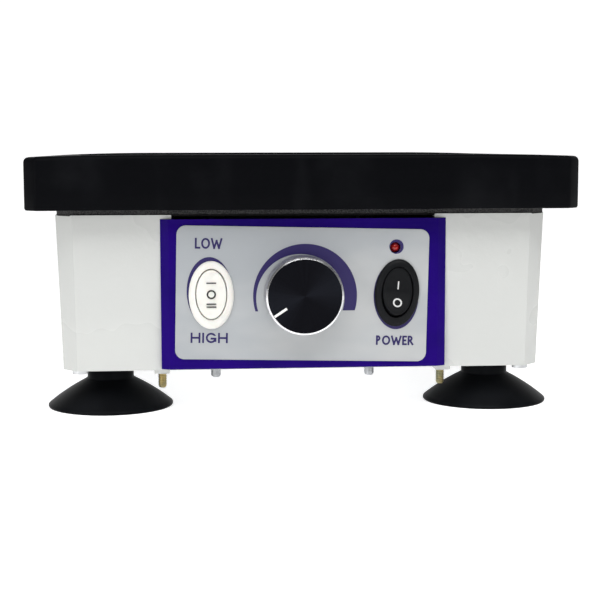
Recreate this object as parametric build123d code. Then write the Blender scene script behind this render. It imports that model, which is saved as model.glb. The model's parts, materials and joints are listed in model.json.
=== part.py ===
from build123d import *
import math
import os

# Square bench vibrating table for settling plaster: a sprung platform under a rubber cover,
# shaken by an electromagnet in a white casing that stands on four suction feet.
# Frame: millimetres, +Z up, front towards -Y, origin on the bench under the middle.

# --- shared fasteners and cutting tools ---
M3_R = 1.5
M4_R = 2.0
M5_R = 2.5
M5_NUT_FLATS = 8.0
M5_NUT_SHEET = 4.0
PAST = 1.0  # how far a cutting tool runs past the face it cuts

# --- cover and platform ---
COVER_HALF_X = 125.0
COVER_HALF_Y = 112.5
COVER_BOTTOM = 94.4
COVER_TOP = 119.0
COVER_WALL = 3.5
COVER_SKIN = 3.0
COVER_CORNER = 5.3
COVER_FLAT_HALF_X = 75.0
COVER_CROWN_DROP = 1.0
COVER_TRAY_INSET = 9.0
COVER_TRAY_DEPTH = 1.2
COVER_LIP = 2.0
COVER_LIP_REACH = 6.0
COVER_TOP_CHAMFER = 0.6
COVER_TRAY_CORNER_R = 12.0
PAN_CORNER = COVER_CORNER - 2.0
PAN_SHEET = 2.5
PAN_FLANGE = 2.0
PLATFORM_SCREW_X = 26.0
PLATFORM_SCREW_Y = 15.0
FLAT_HEAD_R = 4.0
FLAT_HEAD_SHEET = 1.5
FOAM_INSET = 0.8
FOAM_WIDTH = 4.0
FOAM_CORNER = 6.0

# --- casing ---
CASING_BOTTOM = 20.5
CASING_TOP = 91.8
CASING_HALF_X = 110.5
CASING_HALF_Y = 97.2
CASING_SPREAD = 2.4
CASING_CORNER = 6.8
CASING_WALL = 2.0
CASING_RIM_SHEET = 1.5
CASING_RIM_WIDTH = 5.0
CASING_DRAFT = math.degrees(math.atan(CASING_SPREAD / (CASING_TOP - CASING_BOTTOM)))
WINDOW_HALF_X = 60.2
WINDOW_BOTTOM = 26.0
WINDOW_DEPTH = 5.5

# --- base, feet and tie rods ---
BASE_SHEET = 2.0
BASE_TOP = CASING_BOTTOM + BASE_SHEET
BASE_HALF_X = 108.0
BASE_HALF_Y = 94.7
FOOT_X = 90.2
FOOT_Y = 69.6
FOOT_RIM_R = 29.5
FOOT_SEAT_R = 26.5
FOOT_NECK_R = 10.95
FOOT_NECK_BOTTOM = 13.2
FOOT_STEP = 1.1
FOOT_BULGE = 0.45
FOOT_LIP = 1.1
FOOT_DOME = 6.5
FOOT_STUD_R = 3.0
FOOT_STUD_BOTTOM = 8.5
FOOT_NUT_FLATS = 10.0
FOOT_NUT_SHEET = 5.0
FOOT_STUD_SPARE = 8.0
VENT_X = 75.0
VENT_LENGTH = 30.0
VENT_WIDTH = 4.0
VENT_PITCH = 10.0
VENT_ROWS = range(-3, 4)
ROD_X = 65.3
ROD_Y = 87.5
ROD_R = 2.0
ROD_BOTTOM = 11.0
ROD_TOP = 98.0
ROD_END_CHAMFER = 0.5
ROD_NUT_FLATS = 7.0
ROD_NUT_SHEET = 3.2
LUG_WIDTH = 7.0
LUG_BOTTOM = 18.7
LUG_TOP = 32.0
LUG_INNER_Y = 83.5
LUG_CLEARANCE = 0.6
POST_SIZE = 12.0
POST_X = 103.0
POST_Y = 90.0
POST_TOP = 36.0
POST_BLIND = 2.0
BASE_SCREW_SHORT = 6.0
PAN_HEAD_R = 3.6
PAN_HEAD_SHEET = 2.0

# --- spring deck and springs ---
DECK_BOTTOM = 83.5
DECK_TOP = 86.0
DECK_HALF_X = 106.0
DECK_HALF_Y = 93.0
DECK_CORNER = 12.0
DECK_MOUTH_ROOM = 9.0
PAN_UNDERSIDE = COVER_TOP - COVER_SKIN - PAN_SHEET
CUP_SHEET = 1.5
CUP_FLANGE_R = 7.0
CUP_BOSS_R = 4.2
CUP_BOSS_DEPTH = 6.0
SPRING_TOP = PAN_UNDERSIDE - CUP_SHEET
SPRING_MEAN_R = 5.9
SPRING_WIRE_R = 0.8
SPRING_TURNS = 6
SPRING_GROUND_END = 0.5

# --- electromagnet ---
CARRIER_TOP = BASE_TOP + 4.0
CARRIER_HALF_X = 46.0
CARRIER_HALF_Y = 88.0
CARRIER_SCREW_X = 36.4
CARRIER_SCREW_SHIFT = -3.9
CARRIER_SCREW_Y = 80.0
CARRIER_SCREW_BOTTOM = 14.4
CARRIER_SCREW_R = 2.4
CARRIER_HEAD_R = 3.9
CARRIER_HEAD_SHEET = 2.6
CORE_LEG = 11.0
CORE_HALF_X = 3 * CORE_LEG
CORE_HALF_Y = 22.0
CORE_TOP = CARRIER_TOP + 55.0
AIR_GAP = 2.5
ARMATURE_BOTTOM = CORE_TOP + AIR_GAP
ARMATURE_TOP = ARMATURE_BOTTOM + CORE_LEG
BRACKET_SHEET = 3.0
BRACKET_WEB_X = 16.0
ARMATURE_BOLT_X = 26.0
BOLT_HEAD_R = 4.5
BOLT_HEAD_SHEET = 4.0
BOLT_SPARE = 9.0
BOBBIN_BOTTOM = CARRIER_TOP + CORE_LEG
BOBBIN_TOP = CORE_TOP - 2.0
BOBBIN_WALL = 1.2
BOBBIN_SIDE_GAP = 0.4
BOBBIN_FLANGE = 11.0
WINDING_DEPTH = 9.5
WINDING_GAP = 1.5
WINDING_CORNER_R = 6.0
CLEAT_SHEET = 3.0
CLEAT_HEIGHT = 24.0
CLEAT_HALF_Y = 20.0
CLEAT_SCREW_X = 40.0
CLEAT_SCREW_Y = 12.0
CLEAT_SCREW_R = 1.8
CLEAT_HEAD_R = 3.2
CLEAT_HEAD_SHEET = 2.2

# --- front panel ---
PANEL_HALF_X = 65.35
PANEL_BOTTOM = 21.45
PANEL_TOP = 89.9
PANEL_FACE_Y = -101.6
PANEL_SHEET = 2.0
PANEL_EDGE_SIDE = 2.0
PANEL_EDGE_BACK = 3.8
OVERLAY_X = -0.9
OVERLAY_Z = 55.5
OVERLAY_WIDTH = 115.3
OVERLAY_HEIGHT = 61.0
OVERLAY_CORNER_R = 4.2
OVERLAY_TILT = 1.3
OVERLAY_SHEET = 0.5
OVERLAY_FACE_Y = PANEL_FACE_Y - OVERLAY_SHEET
PRINT_SHEET = 0.08
LETTER_SPANS = dict(L=0.36, O=0.7, W=0.96, H=0.62, I=0.03, G=0.68, P=0.38, E=0.32, R=0.44)
LETTER_GAP = 0.27
PEN = 0.85
CRESCENT_OUTER = (0.3, 54.7, 23.8)
CRESCENT_INNER = (-1.9, 53.7, 20.2)
CRESCENT_CUT_Z = 47.8
STRAP_X = 57.0
STRAP_FRONT_Y = -95.1
STRAP_SHEET = 1.5
STRAP_INNER = 4.5
STRAP_OUTER = 8.0
STRAP_END = 4.0
PANEL_STUD_Z = (42.0, 78.0)
PANEL_NUT_FLATS = 5.5
PANEL_NUT_SHEET = 2.4
PANEL_CUT_FRONT_Y = -110.0
PANEL_CUT_BACK_Y = -90.0

# --- knob and potentiometer ---
KNOB_X = -0.96
KNOB_Z = 56.0
KNOB_R = 17.5
KNOB_FACE_Y = -117.45
KNOB_BACK_Y = -103.2
KNOB_CHAMFER = 1.0
KNOB_FLUTES = 48
SHAFT_R = 3.0
SHAFT_CLEARANCE = 0.05
SHAFT_FRONT_Y = -113.0
SHAFT_BACK_Y = -92.0
GRUB_Y = -105.8
GRUB_LENGTH = 8.0
FLUTE_R = 0.75
FLUTE_OFFSET = 0.35
FLUTE_FRONT = 2.2
FLUTE_BACK = 1.5
POTENTIOMETER_R = 12.0
POTENTIOMETER_BACK_Y = -89.0
BUSHING_R = 5.0
BUSHING_FRONT_Y = -102.9
TAG_PITCH = 5.0
TAG_HALF_WIDTH = 1.0
TAG_LENGTH = 6.0
TAG_FRONT_Y = -91.5
TAG_SHEET = 1.0
POINTER_ANGLE = 213.3
POINTER_INNER_R = 9.8
POINTER_OUTER_R = 16.45
POINTER_WIDTH = 1.1
POINTER_DEPTH = 0.3

# --- rocker switches ---
MODE_X = -42.5
MODE_Z = 55.95
POWER_X = 42.6
POWER_Z = 56.15
POWER_TILT = 5.0
BEZEL_HALF_X = 10.25
BEZEL_HALF_Z = 15.5
BEZEL_DROP = 0.45  # the oval bezel sits this far below the rocker axle
BEZEL_SHEET = 2.0
BEZEL_CHAMFER = 1.2
WELL_HALF_X = 7.2
WELL_HALF_Z = 11.55
SWITCH_BODY_X = 8.9
SWITCH_BODY_Z = 13.6
SWITCH_CUT_GAP = 0.2
SWITCH_BACK_Y = -80.0
WELL_BACK_Y = -86.0
ROCKER_HALF_X = 6.95
ROCKER_RADIUS = 11.25
ROCKER_BACK = 6.5
ROCKER_FACE_SLOPE = 10.0
ROCKER_SWING = 11.0
PIVOT_DEPTH = 3.0
PIVOT_R = 1.3
PIVOT_HALF = 8.5
PIVOT_HOLE_HALF = 8.7
BLADE_WIDTH = 6.3
BLADE_SHEET = 0.8
BLADE_LENGTH = 8.0
MARK_RING_R = 2.1
MARK_RING_BORE = 1.4
MARK_BAR = (4.4, 0.55)
POWER_BAR = (0.55, 3.7)
BEZEL_FACE_Y = OVERLAY_FACE_Y - BEZEL_SHEET
PIVOT_Y = BEZEL_FACE_Y + PIVOT_DEPTH

# --- indicator ---
LED_X = 41.7
LED_Z = 76.5
LED_R = 2.5
LED_PRINT_R = 3.3
LED_PRINT_X = 42.2
LED_PRINT_Z = 76.9
LED_SUNK = 3.4
LED_STEM_BACK = 8.0
LED_FLANGE = 0.4
LED_HOLDER_WALL = 1.8
LED_HOLDER_LENGTH = 7.0

# --- electronics ---
BOARD_X = -75.0
BOARD_HALF_X = 25.0
BOARD_HALF_Y = 55.0
BOARD_BOTTOM = 32.5
BOARD_TOP = 34.1
BOARD_HOLE_X = 21.0
BOARD_HOLE_Y = 50.0
STANDOFF_R = 3.0
BOARD_HEAD_R = 2.8
BOARD_HEAD_SHEET = 2.0
SINK_HALF_X = 18.0
SINK_Y = 28.0
SINK_PLATE = 3.0
SINK_DEPTH = 14.0
SINK_HEIGHT = 26.0
SINK_FINS = 7
SINK_FIN_SHEET = 1.5
SINK_FIN_PITCH = 5.75
TRIAC_HALF_X = 5.0
TRIAC_FRONT_Y = 23.5
TRIAC_LEG = 6.0
TRIAC_HEIGHT = 21.0
TRIAC_PITCH = 2.5
CAPACITOR_HALF_X = 15.0
CAPACITOR_Y = (-28.0, -10.0)
CAPACITOR_HEIGHT = 20.0
CAPACITOR_EDGE_R = 1.0
TERMINAL_X = 72.0
TERMINAL_Y = 45.0
TERMINAL_HALF_X = 9.0
TERMINAL_HALF_Y = 17.0
TERMINAL_HEIGHT = 14.0
TERMINAL_POLES = 4
TERMINAL_PITCH = 8.3
TERMINAL_FIRST = 4.5
TERMINAL_WELL_FLOOR = 8.0

# --- rear fittings ---
GLAND_X = 75.0
GLAND_Z = 48.0
GLAND_BORE_R = 3.75
GLAND_THREAD_R = 8.0
GLAND_FRONT_Y = 88.0
REAR_END_Y = -KNOB_FACE_Y
FUSE_X = -75.0
FUSE_Z = 48.0
FUSE_BODY_R = 6.2
FUSE_BODY_FRONT_Y = 72.0
FUSE_BORE_R = 4.0
FUSE_FLANGE_R = 8.0
FUSE_FLANGE = 2.0
FUSE_CAP_R = 6.8
FUSE_CAP_LENGTH = 7.0
FUSE_CAP_PLUG = 6.0
COIN_SLOT_HALF = 0.8
COIN_SLOT_REACH = 5.0
COIN_SLOT_DEPTH = 1.6
FUSE_R = 2.5
FUSE_Y = (74.2, 93.5)
FUSE_WALL = 2.0
REAR_GAP = 0.4
GLAND_HEX_FLATS = 20.0
GLAND_HEX_SHEET = 5.0
GLAND_DOME_R = 9.6
GLAND_DOME_FILLET = 3.0
GLAND_DOME_SKIN = 1.5
LOCKNUT_SHEET = 4.0
LOCKNUT_GAP = 0.6


def block(x0, x1, y0, y1, z0, z1):
    """Box between two opposite corners."""
    size = Box(x1 - x0, y1 - y0, z1 - z0, align=(Align.MIN, Align.MIN, Align.MIN))
    return Pos(x0, y0, z0) * size


def centred_block(half_x, half_y, z0, z1):
    """Box centred on the vertical axis."""
    return block(-half_x, half_x, -half_y, half_y, z0, z1)


def upright(x, y, z0, z1, radius):
    """Vertical cylinder from z0 to z1."""
    turned = Cylinder(radius, z1 - z0, align=(Align.CENTER, Align.CENTER, Align.MIN))
    return Pos(x, y, z0) * turned


def lengthwise(x, z, y0, y1, radius):
    """Cylinder along Y from y0 to y1."""
    base = Plane(origin=(x, y0, z), z_dir=(0, 1, 0))
    return extrude(base * Circle(radius), amount=y1 - y0)


def hexagon(x, y, z0, z1, across_flats):
    """Upright hexagonal nut blank."""
    face = RegularPolygon(across_flats / 2, 6, major_radius=False)
    return extrude(Pos(x, y, z0) * face, amount=z1 - z0)


def nut(x, y, z0, z1, across_flats, hole_r):
    """Hexagonal nut with its hole."""
    return hexagon(x, y, z0, z1, across_flats) - upright(x, y, z0 - PAST, z1 + PAST, hole_r)


def cut_corner_plate(half_x, half_y, corner):
    """Rectangle with its four corners cut at 45 degrees."""
    return chamfer(Rectangle(2 * half_x, 2 * half_y).vertices(), corner)


def four_corners(x, y):
    """Left and right, front and rear places at the same distance from the middle."""
    return [(sx * x, sy * y) for sy in (-1, 1) for sx in (-1, 1)]


def carrier_screw_places():
    """Where the magnet carrier is screwed down, a little left of the middle."""
    return [(x + CARRIER_SCREW_SHIFT, y) for x, y in four_corners(CARRIER_SCREW_X, CARRIER_SCREW_Y)]


def panel_plane(x, z, y, tilt=0.0):
    """Plane on the front, facing the user, turned clockwise by tilt degrees."""
    turn = math.radians(tilt)
    return Plane(origin=(x, y, z), x_dir=(math.cos(turn), 0, -math.sin(turn)), z_dir=(0, -1, 0))


def group(solids):
    """Separate solids kept together as one node."""
    return Compound(children=[part for item in solids for part in item.solids()])


# --- platform ---

def rubber_cover():
    """Moulded cap: crowned top with a shallow tray, and a lip that grips the pan."""
    low = COVER_TOP - COVER_CROWN_DROP
    arc_middle = (COVER_FLAT_HALF_X + COVER_HALF_X) / 2
    arc_z = COVER_TOP - COVER_CROWN_DROP / 4
    section = [
        Line((-COVER_HALF_X, COVER_BOTTOM), (-COVER_HALF_X, low)),
        ThreePointArc((-COVER_HALF_X, low), (-arc_middle, arc_z), (-COVER_FLAT_HALF_X, COVER_TOP)),
        Line((-COVER_FLAT_HALF_X, COVER_TOP), (COVER_FLAT_HALF_X, COVER_TOP)),
        ThreePointArc((COVER_FLAT_HALF_X, COVER_TOP), (arc_middle, arc_z), (COVER_HALF_X, low)),
        Line((COVER_HALF_X, low), (COVER_HALF_X, COVER_BOTTOM)),
        Line((COVER_HALF_X, COVER_BOTTOM), (-COVER_HALF_X, COVER_BOTTOM)),
    ]
    crowned = extrude(Plane.XZ * make_face(section), amount=COVER_HALF_Y, both=True)
    outline = cut_corner_plate(COVER_HALF_X, COVER_HALF_Y, COVER_CORNER)
    body = crowned & extrude(Pos(0, 0, COVER_BOTTOM) * outline, amount=COVER_TOP - COVER_BOTTOM)
    body = chamfer(body.edges().group_by(Axis.Z)[-1], COVER_TOP_CHAMFER)
    tray = RectangleRounded(
        2 * (COVER_HALF_X - COVER_TRAY_INSET), 2 * (COVER_HALF_Y - COVER_TRAY_INSET), COVER_TRAY_CORNER_R
    )
    floor_z = COVER_TOP - COVER_CROWN_DROP - COVER_TRAY_DEPTH
    body -= extrude(Pos(0, 0, floor_z) * tray, amount=2 * COVER_TRAY_DEPTH + COVER_CROWN_DROP)
    hollow = cut_corner_plate(COVER_HALF_X - COVER_WALL, COVER_HALF_Y - COVER_WALL, PAN_CORNER)
    inside_z = COVER_BOTTOM + COVER_LIP
    body -= extrude(Pos(0, 0, inside_z) * hollow, amount=COVER_TOP - COVER_SKIN - inside_z)
    reach = COVER_WALL + COVER_LIP_REACH
    mouth = cut_corner_plate(COVER_HALF_X - reach, COVER_HALF_Y - reach, COVER_CORNER)
    return body - extrude(Pos(0, 0, COVER_BOTTOM - PAST) * mouth, amount=COVER_LIP + 2 * PAST)


def platform_pan():
    """Pressed steel pan under the rubber, with turned-down sides."""
    half_x = COVER_HALF_X - COVER_WALL
    half_y = COVER_HALF_Y - COVER_WALL
    bottom = COVER_BOTTOM + COVER_LIP
    body = extrude(
        Pos(0, 0, bottom) * cut_corner_plate(half_x, half_y, PAN_CORNER),
        amount=COVER_TOP - COVER_SKIN - bottom,
    )
    inner = cut_corner_plate(half_x - PAN_FLANGE, half_y - PAN_FLANGE, PAN_CORNER - 1)
    body -= extrude(Pos(0, 0, bottom) * inner, amount=PAN_UNDERSIDE - bottom)
    for x, y in four_corners(PLATFORM_SCREW_X, PLATFORM_SCREW_Y):
        body -= platform_screw(x, y)
    return body


def platform_screw(x, y):
    """Flat-headed M4 screw, flush with the pan."""
    top = COVER_TOP - COVER_SKIN
    seat = top - FLAT_HEAD_SHEET
    return upright(x, y, PAN_UNDERSIDE - BRACKET_SHEET, seat, M4_R) + upright(x, y, seat, top, FLAT_HEAD_R)


def platform_screws():
    """Four screws that hold the armature bracket to the pan."""
    return group(platform_screw(x, y) for x, y in four_corners(PLATFORM_SCREW_X, PLATFORM_SCREW_Y))


def spring_cups():
    """Flanged seats under the pan that centre the springs."""
    cups = []
    for x, y in four_corners(ROD_X, ROD_Y):
        flange = upright(x, y, SPRING_TOP, PAN_UNDERSIDE, CUP_FLANGE_R)
        cups.append(flange + upright(x, y, SPRING_TOP - CUP_BOSS_DEPTH, SPRING_TOP, CUP_BOSS_R))
    return group(cups)


def armature_bracket():
    """Stiff hanger between the pan and the armature: two plates joined by two webs."""
    low = centred_block(CORE_HALF_X, CORE_HALF_Y, ARMATURE_TOP, ARMATURE_TOP + BRACKET_SHEET)
    high = centred_block(CORE_HALF_X, CORE_HALF_Y, PAN_UNDERSIDE - BRACKET_SHEET, PAN_UNDERSIDE)
    body = low + high
    for side in (-1, 1):
        x = side * BRACKET_WEB_X
        half = BRACKET_SHEET / 2
        body += block(x - half, x + half, -CORE_HALF_Y, CORE_HALF_Y, ARMATURE_TOP, PAN_UNDERSIDE)
        body -= armature_bolt(side * ARMATURE_BOLT_X)
    for x, y in four_corners(PLATFORM_SCREW_X, PLATFORM_SCREW_Y):
        body -= platform_screw(x, y)
    return body


def armature_bolt(x):
    """M5 bolt with its head sunk in the armature."""
    seat = ARMATURE_BOTTOM + BOLT_HEAD_SHEET
    head = upright(x, 0, ARMATURE_BOTTOM, seat, BOLT_HEAD_R)
    return head + upright(x, 0, seat, ARMATURE_TOP + BOLT_SPARE, M5_R)


def armature_core():
    """Soft iron bar that the magnet pulls."""
    body = centred_block(CORE_HALF_X, CORE_HALF_Y, ARMATURE_BOTTOM, ARMATURE_TOP)
    return body - armature_bolt(-ARMATURE_BOLT_X) - armature_bolt(ARMATURE_BOLT_X)


def armature_bolts():
    """Two bolts and nuts that hold the armature to its bracket."""
    seat = ARMATURE_TOP + BRACKET_SHEET
    places = (-ARMATURE_BOLT_X, ARMATURE_BOLT_X)
    nuts = [nut(x, 0, seat, seat + M5_NUT_SHEET, M5_NUT_FLATS, M5_R) for x in places]
    return group([armature_bolt(x) for x in places] + nuts)


def coil_spring(x, y):
    """Compression spring with ground ends, round the top of a tie rod."""
    height = SPRING_TOP - DECK_TOP - 2 * SPRING_GROUND_END
    path = Helix(pitch=height / SPRING_TURNS, height=height, radius=SPRING_MEAN_R)
    wire = Plane(origin=path @ 0, z_dir=path % 0) * Circle(SPRING_WIRE_R)
    coil = Pos(x, y, DECK_TOP + SPRING_GROUND_END) * sweep(wire, path=path, is_frenet=True)
    room = 2 * SPRING_MEAN_R
    return coil & block(x - room, x + room, y - room, y + room, DECK_TOP, SPRING_TOP)


def foam_skirt():
    """Closed-cell foam ring that keeps plaster out of the gap under the platform."""
    half_x = CASING_HALF_X + CASING_SPREAD - FOAM_INSET
    half_y = CASING_HALF_Y + CASING_SPREAD - FOAM_INSET
    height = PAN_UNDERSIDE - CASING_TOP
    inner = cut_corner_plate(half_x - FOAM_WIDTH, half_y - FOAM_WIDTH, FOAM_WIDTH)
    ring = cut_corner_plate(half_x, half_y, FOAM_CORNER) - inner
    return extrude(Pos(0, 0, CASING_TOP) * ring, amount=height)


# --- casing ---

def drafted_box(inset, z0, z1):
    """Casing outline moved in by inset, widening upwards with the casing's draft."""
    rise = (z0 - CASING_BOTTOM) * math.tan(math.radians(CASING_DRAFT))
    outline = cut_corner_plate(
        CASING_HALF_X + rise - inset,
        CASING_HALF_Y + rise - inset,
        CASING_CORNER - inset * (2 - math.sqrt(2)),
    )
    return extrude(Pos(0, 0, z0) * outline, amount=z1 - z0, taper=-CASING_DRAFT)


def casing():
    """White painted shell with turned-in rim, front window, rod lugs and corner posts."""
    body = drafted_box(0, CASING_BOTTOM, CASING_TOP)
    body -= drafted_box(CASING_WALL, CASING_BOTTOM - PAST, CASING_TOP - CASING_RIM_SHEET)
    body -= drafted_box(CASING_RIM_WIDTH, CASING_TOP - CASING_RIM_WIDTH, CASING_TOP + PAST)
    solid_inside = drafted_box(CASING_WALL / 2, CASING_BOTTOM, CASING_TOP)
    for x, y in four_corners(ROD_X, ROD_Y):
        side = math.copysign(1, y)
        near, far = sorted((side * LUG_INNER_Y, side * (CASING_HALF_Y - CASING_WALL / 2)))
        body += block(x - LUG_WIDTH / 2, x + LUG_WIDTH / 2, near, far, LUG_BOTTOM, LUG_TOP)
        body -= upright(x, y, LUG_BOTTOM - PAST, LUG_TOP + PAST, ROD_R)
    for x, y in four_corners(POST_X, POST_Y):
        half = POST_SIZE / 2
        post = block(x - half, x + half, y - half, y + half, BASE_TOP, POST_TOP)
        body += post & solid_inside
        body -= upright(x, y, BASE_TOP - PAST, POST_TOP - POST_BLIND, M4_R)
    front = -CASING_HALF_Y - CASING_SPREAD
    body -= block(
        -WINDOW_HALF_X, WINDOW_HALF_X, front - PAST, front + WINDOW_DEPTH, WINDOW_BOTTOM, CASING_TOP + PAST
    )
    body -= lengthwise(GLAND_X, GLAND_Z, GLAND_FRONT_Y, REAR_END_Y, GLAND_THREAD_R)
    return body - lengthwise(FUSE_X, FUSE_Z, GLAND_FRONT_Y, REAR_END_Y, FUSE_BODY_R)


def base_plate():
    """Steel floor with vent slots, notched round the rod lugs."""
    body = extrude(
        Pos(0, 0, CASING_BOTTOM) * cut_corner_plate(BASE_HALF_X, BASE_HALF_Y, CASING_CORNER),
        amount=BASE_SHEET,
    )
    low, high = CASING_BOTTOM - PAST, BASE_TOP + PAST
    reach = LUG_WIDTH / 2 + LUG_CLEARANCE
    for x, y in four_corners(ROD_X, ROD_Y):
        side = math.copysign(1, y)
        near, far = sorted((side * (LUG_INNER_Y - LUG_CLEARANCE), side * (BASE_HALF_Y + PAST)))
        body -= block(x - reach, x + reach, near, far, low, high)
    for x, y in four_corners(FOOT_X, FOOT_Y):
        body -= upright(x, y, low, high, FOOT_STUD_R)
    for x, y in four_corners(POST_X, POST_Y):
        body -= upright(x, y, low, high, M4_R)
    for x, y in carrier_screw_places():
        body -= upright(x, y, low, high, CARRIER_SCREW_R)
    for column in (-1, 1):
        for row in VENT_ROWS:
            slot = Pos(column * VENT_X, row * VENT_PITCH, low) * SlotOverall(VENT_LENGTH, VENT_WIDTH)
            body -= extrude(slot, amount=high - low)
    return body


def base_screws():
    """Four screws from below into the corner posts."""
    screws = []
    for x, y in four_corners(POST_X, POST_Y):
        shank = upright(x, y, CASING_BOTTOM, POST_TOP - BASE_SCREW_SHORT, M4_R)
        screws.append(shank + upright(x, y, CASING_BOTTOM - PAN_HEAD_SHEET, CASING_BOTTOM, PAN_HEAD_R))
    return group(screws)


def tie_rods():
    """Four threaded rods that stand in the casing lugs and carry the spring deck."""
    rods = []
    for x, y in four_corners(ROD_X, ROD_Y):
        rod = upright(x, y, ROD_BOTTOM, ROD_TOP, ROD_R)
        rods.append(chamfer(rod.edges().filter_by(GeomType.CIRCLE), ROD_END_CHAMFER))
    return group(rods)


def tie_rod_nuts():
    """A nut under and a nut over the deck on each rod."""
    nuts = []
    for x, y in four_corners(ROD_X, ROD_Y):
        for seat in (DECK_BOTTOM - ROD_NUT_SHEET, DECK_TOP):
            nuts.append(nut(x, y, seat, seat + ROD_NUT_SHEET, ROD_NUT_FLATS, ROD_R))
    return group(nuts)


def spring_deck():
    """Steel plate inside the casing: seats for the springs and a mouth for the armature."""
    plate = extrude(
        Pos(0, 0, DECK_BOTTOM) * cut_corner_plate(DECK_HALF_X, DECK_HALF_Y, DECK_CORNER),
        amount=DECK_TOP - DECK_BOTTOM,
    )
    mouth_x, mouth_y = CORE_HALF_X + DECK_MOUTH_ROOM, CORE_HALF_Y + DECK_MOUTH_ROOM
    plate -= centred_block(mouth_x, mouth_y, DECK_BOTTOM - PAST, DECK_TOP + PAST)
    for x, y in four_corners(ROD_X, ROD_Y):
        plate -= upright(x, y, DECK_BOTTOM - PAST, DECK_TOP + PAST, ROD_R)
    return plate


def suction_foot(x, y):
    """Moulded rubber suction cup on a round neck, with a blind hole for its stud."""
    neck_low = (FOOT_NECK_R, FOOT_NECK_BOTTOM)
    shoulder = (FOOT_NECK_R + FOOT_STEP, FOOT_NECK_BOTTOM)
    run, fall = FOOT_RIM_R - shoulder[0], shoulder[1] - FOOT_LIP
    share = FOOT_BULGE / math.hypot(run, fall)
    crest = (shoulder[0] + run / 2 + fall * share, FOOT_LIP + fall / 2 + run * share)
    flare = ThreePointArc(shoulder, crest, (FOOT_RIM_R, FOOT_LIP))
    dome_r = (FOOT_SEAT_R**2 + FOOT_DOME**2) / (2 * FOOT_DOME)
    half_way = FOOT_SEAT_R / 2
    dome_z = FOOT_DOME - dome_r + math.sqrt(dome_r**2 - half_way**2)
    dome = ThreePointArc((FOOT_SEAT_R, 0), (half_way, dome_z), (0, FOOT_DOME))
    section = [
        Line((0, CASING_BOTTOM), (FOOT_NECK_R, CASING_BOTTOM)),
        Line((FOOT_NECK_R, CASING_BOTTOM), neck_low),
        Line(neck_low, shoulder),
        flare,
        Line((FOOT_RIM_R, FOOT_LIP), (FOOT_RIM_R, 0)),
        Line((FOOT_RIM_R, 0), (FOOT_SEAT_R, 0)),
        dome,
        Line((0, FOOT_DOME), (0, CASING_BOTTOM)),
    ]
    cup = revolve(Plane.XZ * make_face(section), axis=Axis.Z)
    cup -= upright(0, 0, FOOT_STUD_BOTTOM, CASING_BOTTOM + PAST, FOOT_STUD_R)
    return Pos(x, y, 0) * cup


def foot_studs():
    """M6 studs moulded into the feet, with nuts on the base plate."""
    studs = []
    for x, y in four_corners(FOOT_X, FOOT_Y):
        studs.append(upright(x, y, FOOT_STUD_BOTTOM, BASE_TOP + FOOT_STUD_SPARE, FOOT_STUD_R))
        studs.append(nut(x, y, BASE_TOP, BASE_TOP + FOOT_NUT_SHEET, FOOT_NUT_FLATS, FOOT_STUD_R))
    return group(studs)


# --- electromagnet ---

def magnet_carrier():
    """Thick steel strap across the base that carries the magnet."""
    body = centred_block(CARRIER_HALF_X, CARRIER_HALF_Y, BASE_TOP, CARRIER_TOP)
    for x, y in carrier_screw_places():
        body -= upright(x, y, BASE_TOP - PAST, CARRIER_TOP + PAST, CARRIER_SCREW_R)
    for x, y in four_corners(CLEAT_SCREW_X, CLEAT_SCREW_Y):
        body -= cleat_screw(x, y)
    return body


def carrier_screws():
    """Four pan-headed screws whose ends show under the base."""
    screws = []
    for x, y in carrier_screw_places():
        shank = upright(x, y, CARRIER_SCREW_BOTTOM, CARRIER_TOP, CARRIER_SCREW_R)
        screws.append(shank + upright(x, y, CARRIER_TOP, CARRIER_TOP + CARRIER_HEAD_SHEET, CARRIER_HEAD_R))
    return group(screws)


def magnet_core():
    """E-shaped lamination stack, legs up."""
    body = centred_block(CORE_HALF_X, CORE_HALF_Y, CARRIER_TOP, CORE_TOP)
    for side in (-1, 1):
        near, far = sorted((side * CORE_LEG, side * 2 * CORE_LEG))
        floor_z = CARRIER_TOP + CORE_LEG
        body -= block(near, far, -CORE_HALF_Y - PAST, CORE_HALF_Y + PAST, floor_z, CORE_TOP + PAST)
    return body


def coil_bobbin():
    """Moulded former with a flange at each end, on the middle leg."""
    half_x = CORE_LEG + BOBBIN_WALL
    half_y = CORE_HALF_Y + BOBBIN_WALL
    wide_x = 2 * CORE_LEG - BOBBIN_SIDE_GAP
    wide_y = CORE_HALF_Y + BOBBIN_FLANGE
    body = centred_block(half_x, half_y, BOBBIN_BOTTOM, BOBBIN_TOP)
    body += centred_block(wide_x, wide_y, BOBBIN_BOTTOM, BOBBIN_BOTTOM + BOBBIN_WALL)
    body += centred_block(wide_x, wide_y, BOBBIN_TOP - BOBBIN_WALL, BOBBIN_TOP)
    return body - centred_block(CORE_LEG, CORE_HALF_Y, BOBBIN_BOTTOM - PAST, BOBBIN_TOP + PAST)


def coil_winding():
    """Enamelled copper wound between the flanges, taken as one body."""
    low = BOBBIN_BOTTOM + BOBBIN_WALL
    high = BOBBIN_TOP - BOBBIN_WALL
    outside = RectangleRounded(
        4 * CORE_LEG - 2 * WINDING_GAP, 2 * (CORE_HALF_Y + WINDING_DEPTH), WINDING_CORNER_R
    )
    body = extrude(Pos(0, 0, low) * outside, amount=high - low)
    return body - centred_block(CORE_LEG + BOBBIN_WALL, CORE_HALF_Y + BOBBIN_WALL, low - PAST, high + PAST)


def cleat_screw(x, y):
    """Screw through a cleat into the carrier."""
    seat = CARRIER_TOP + CLEAT_SHEET
    shank = upright(x, y, CARRIER_TOP - CLEAT_SHEET, seat, CLEAT_SCREW_R)
    return shank + upright(x, y, seat, seat + CLEAT_HEAD_SHEET, CLEAT_HEAD_R)


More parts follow.
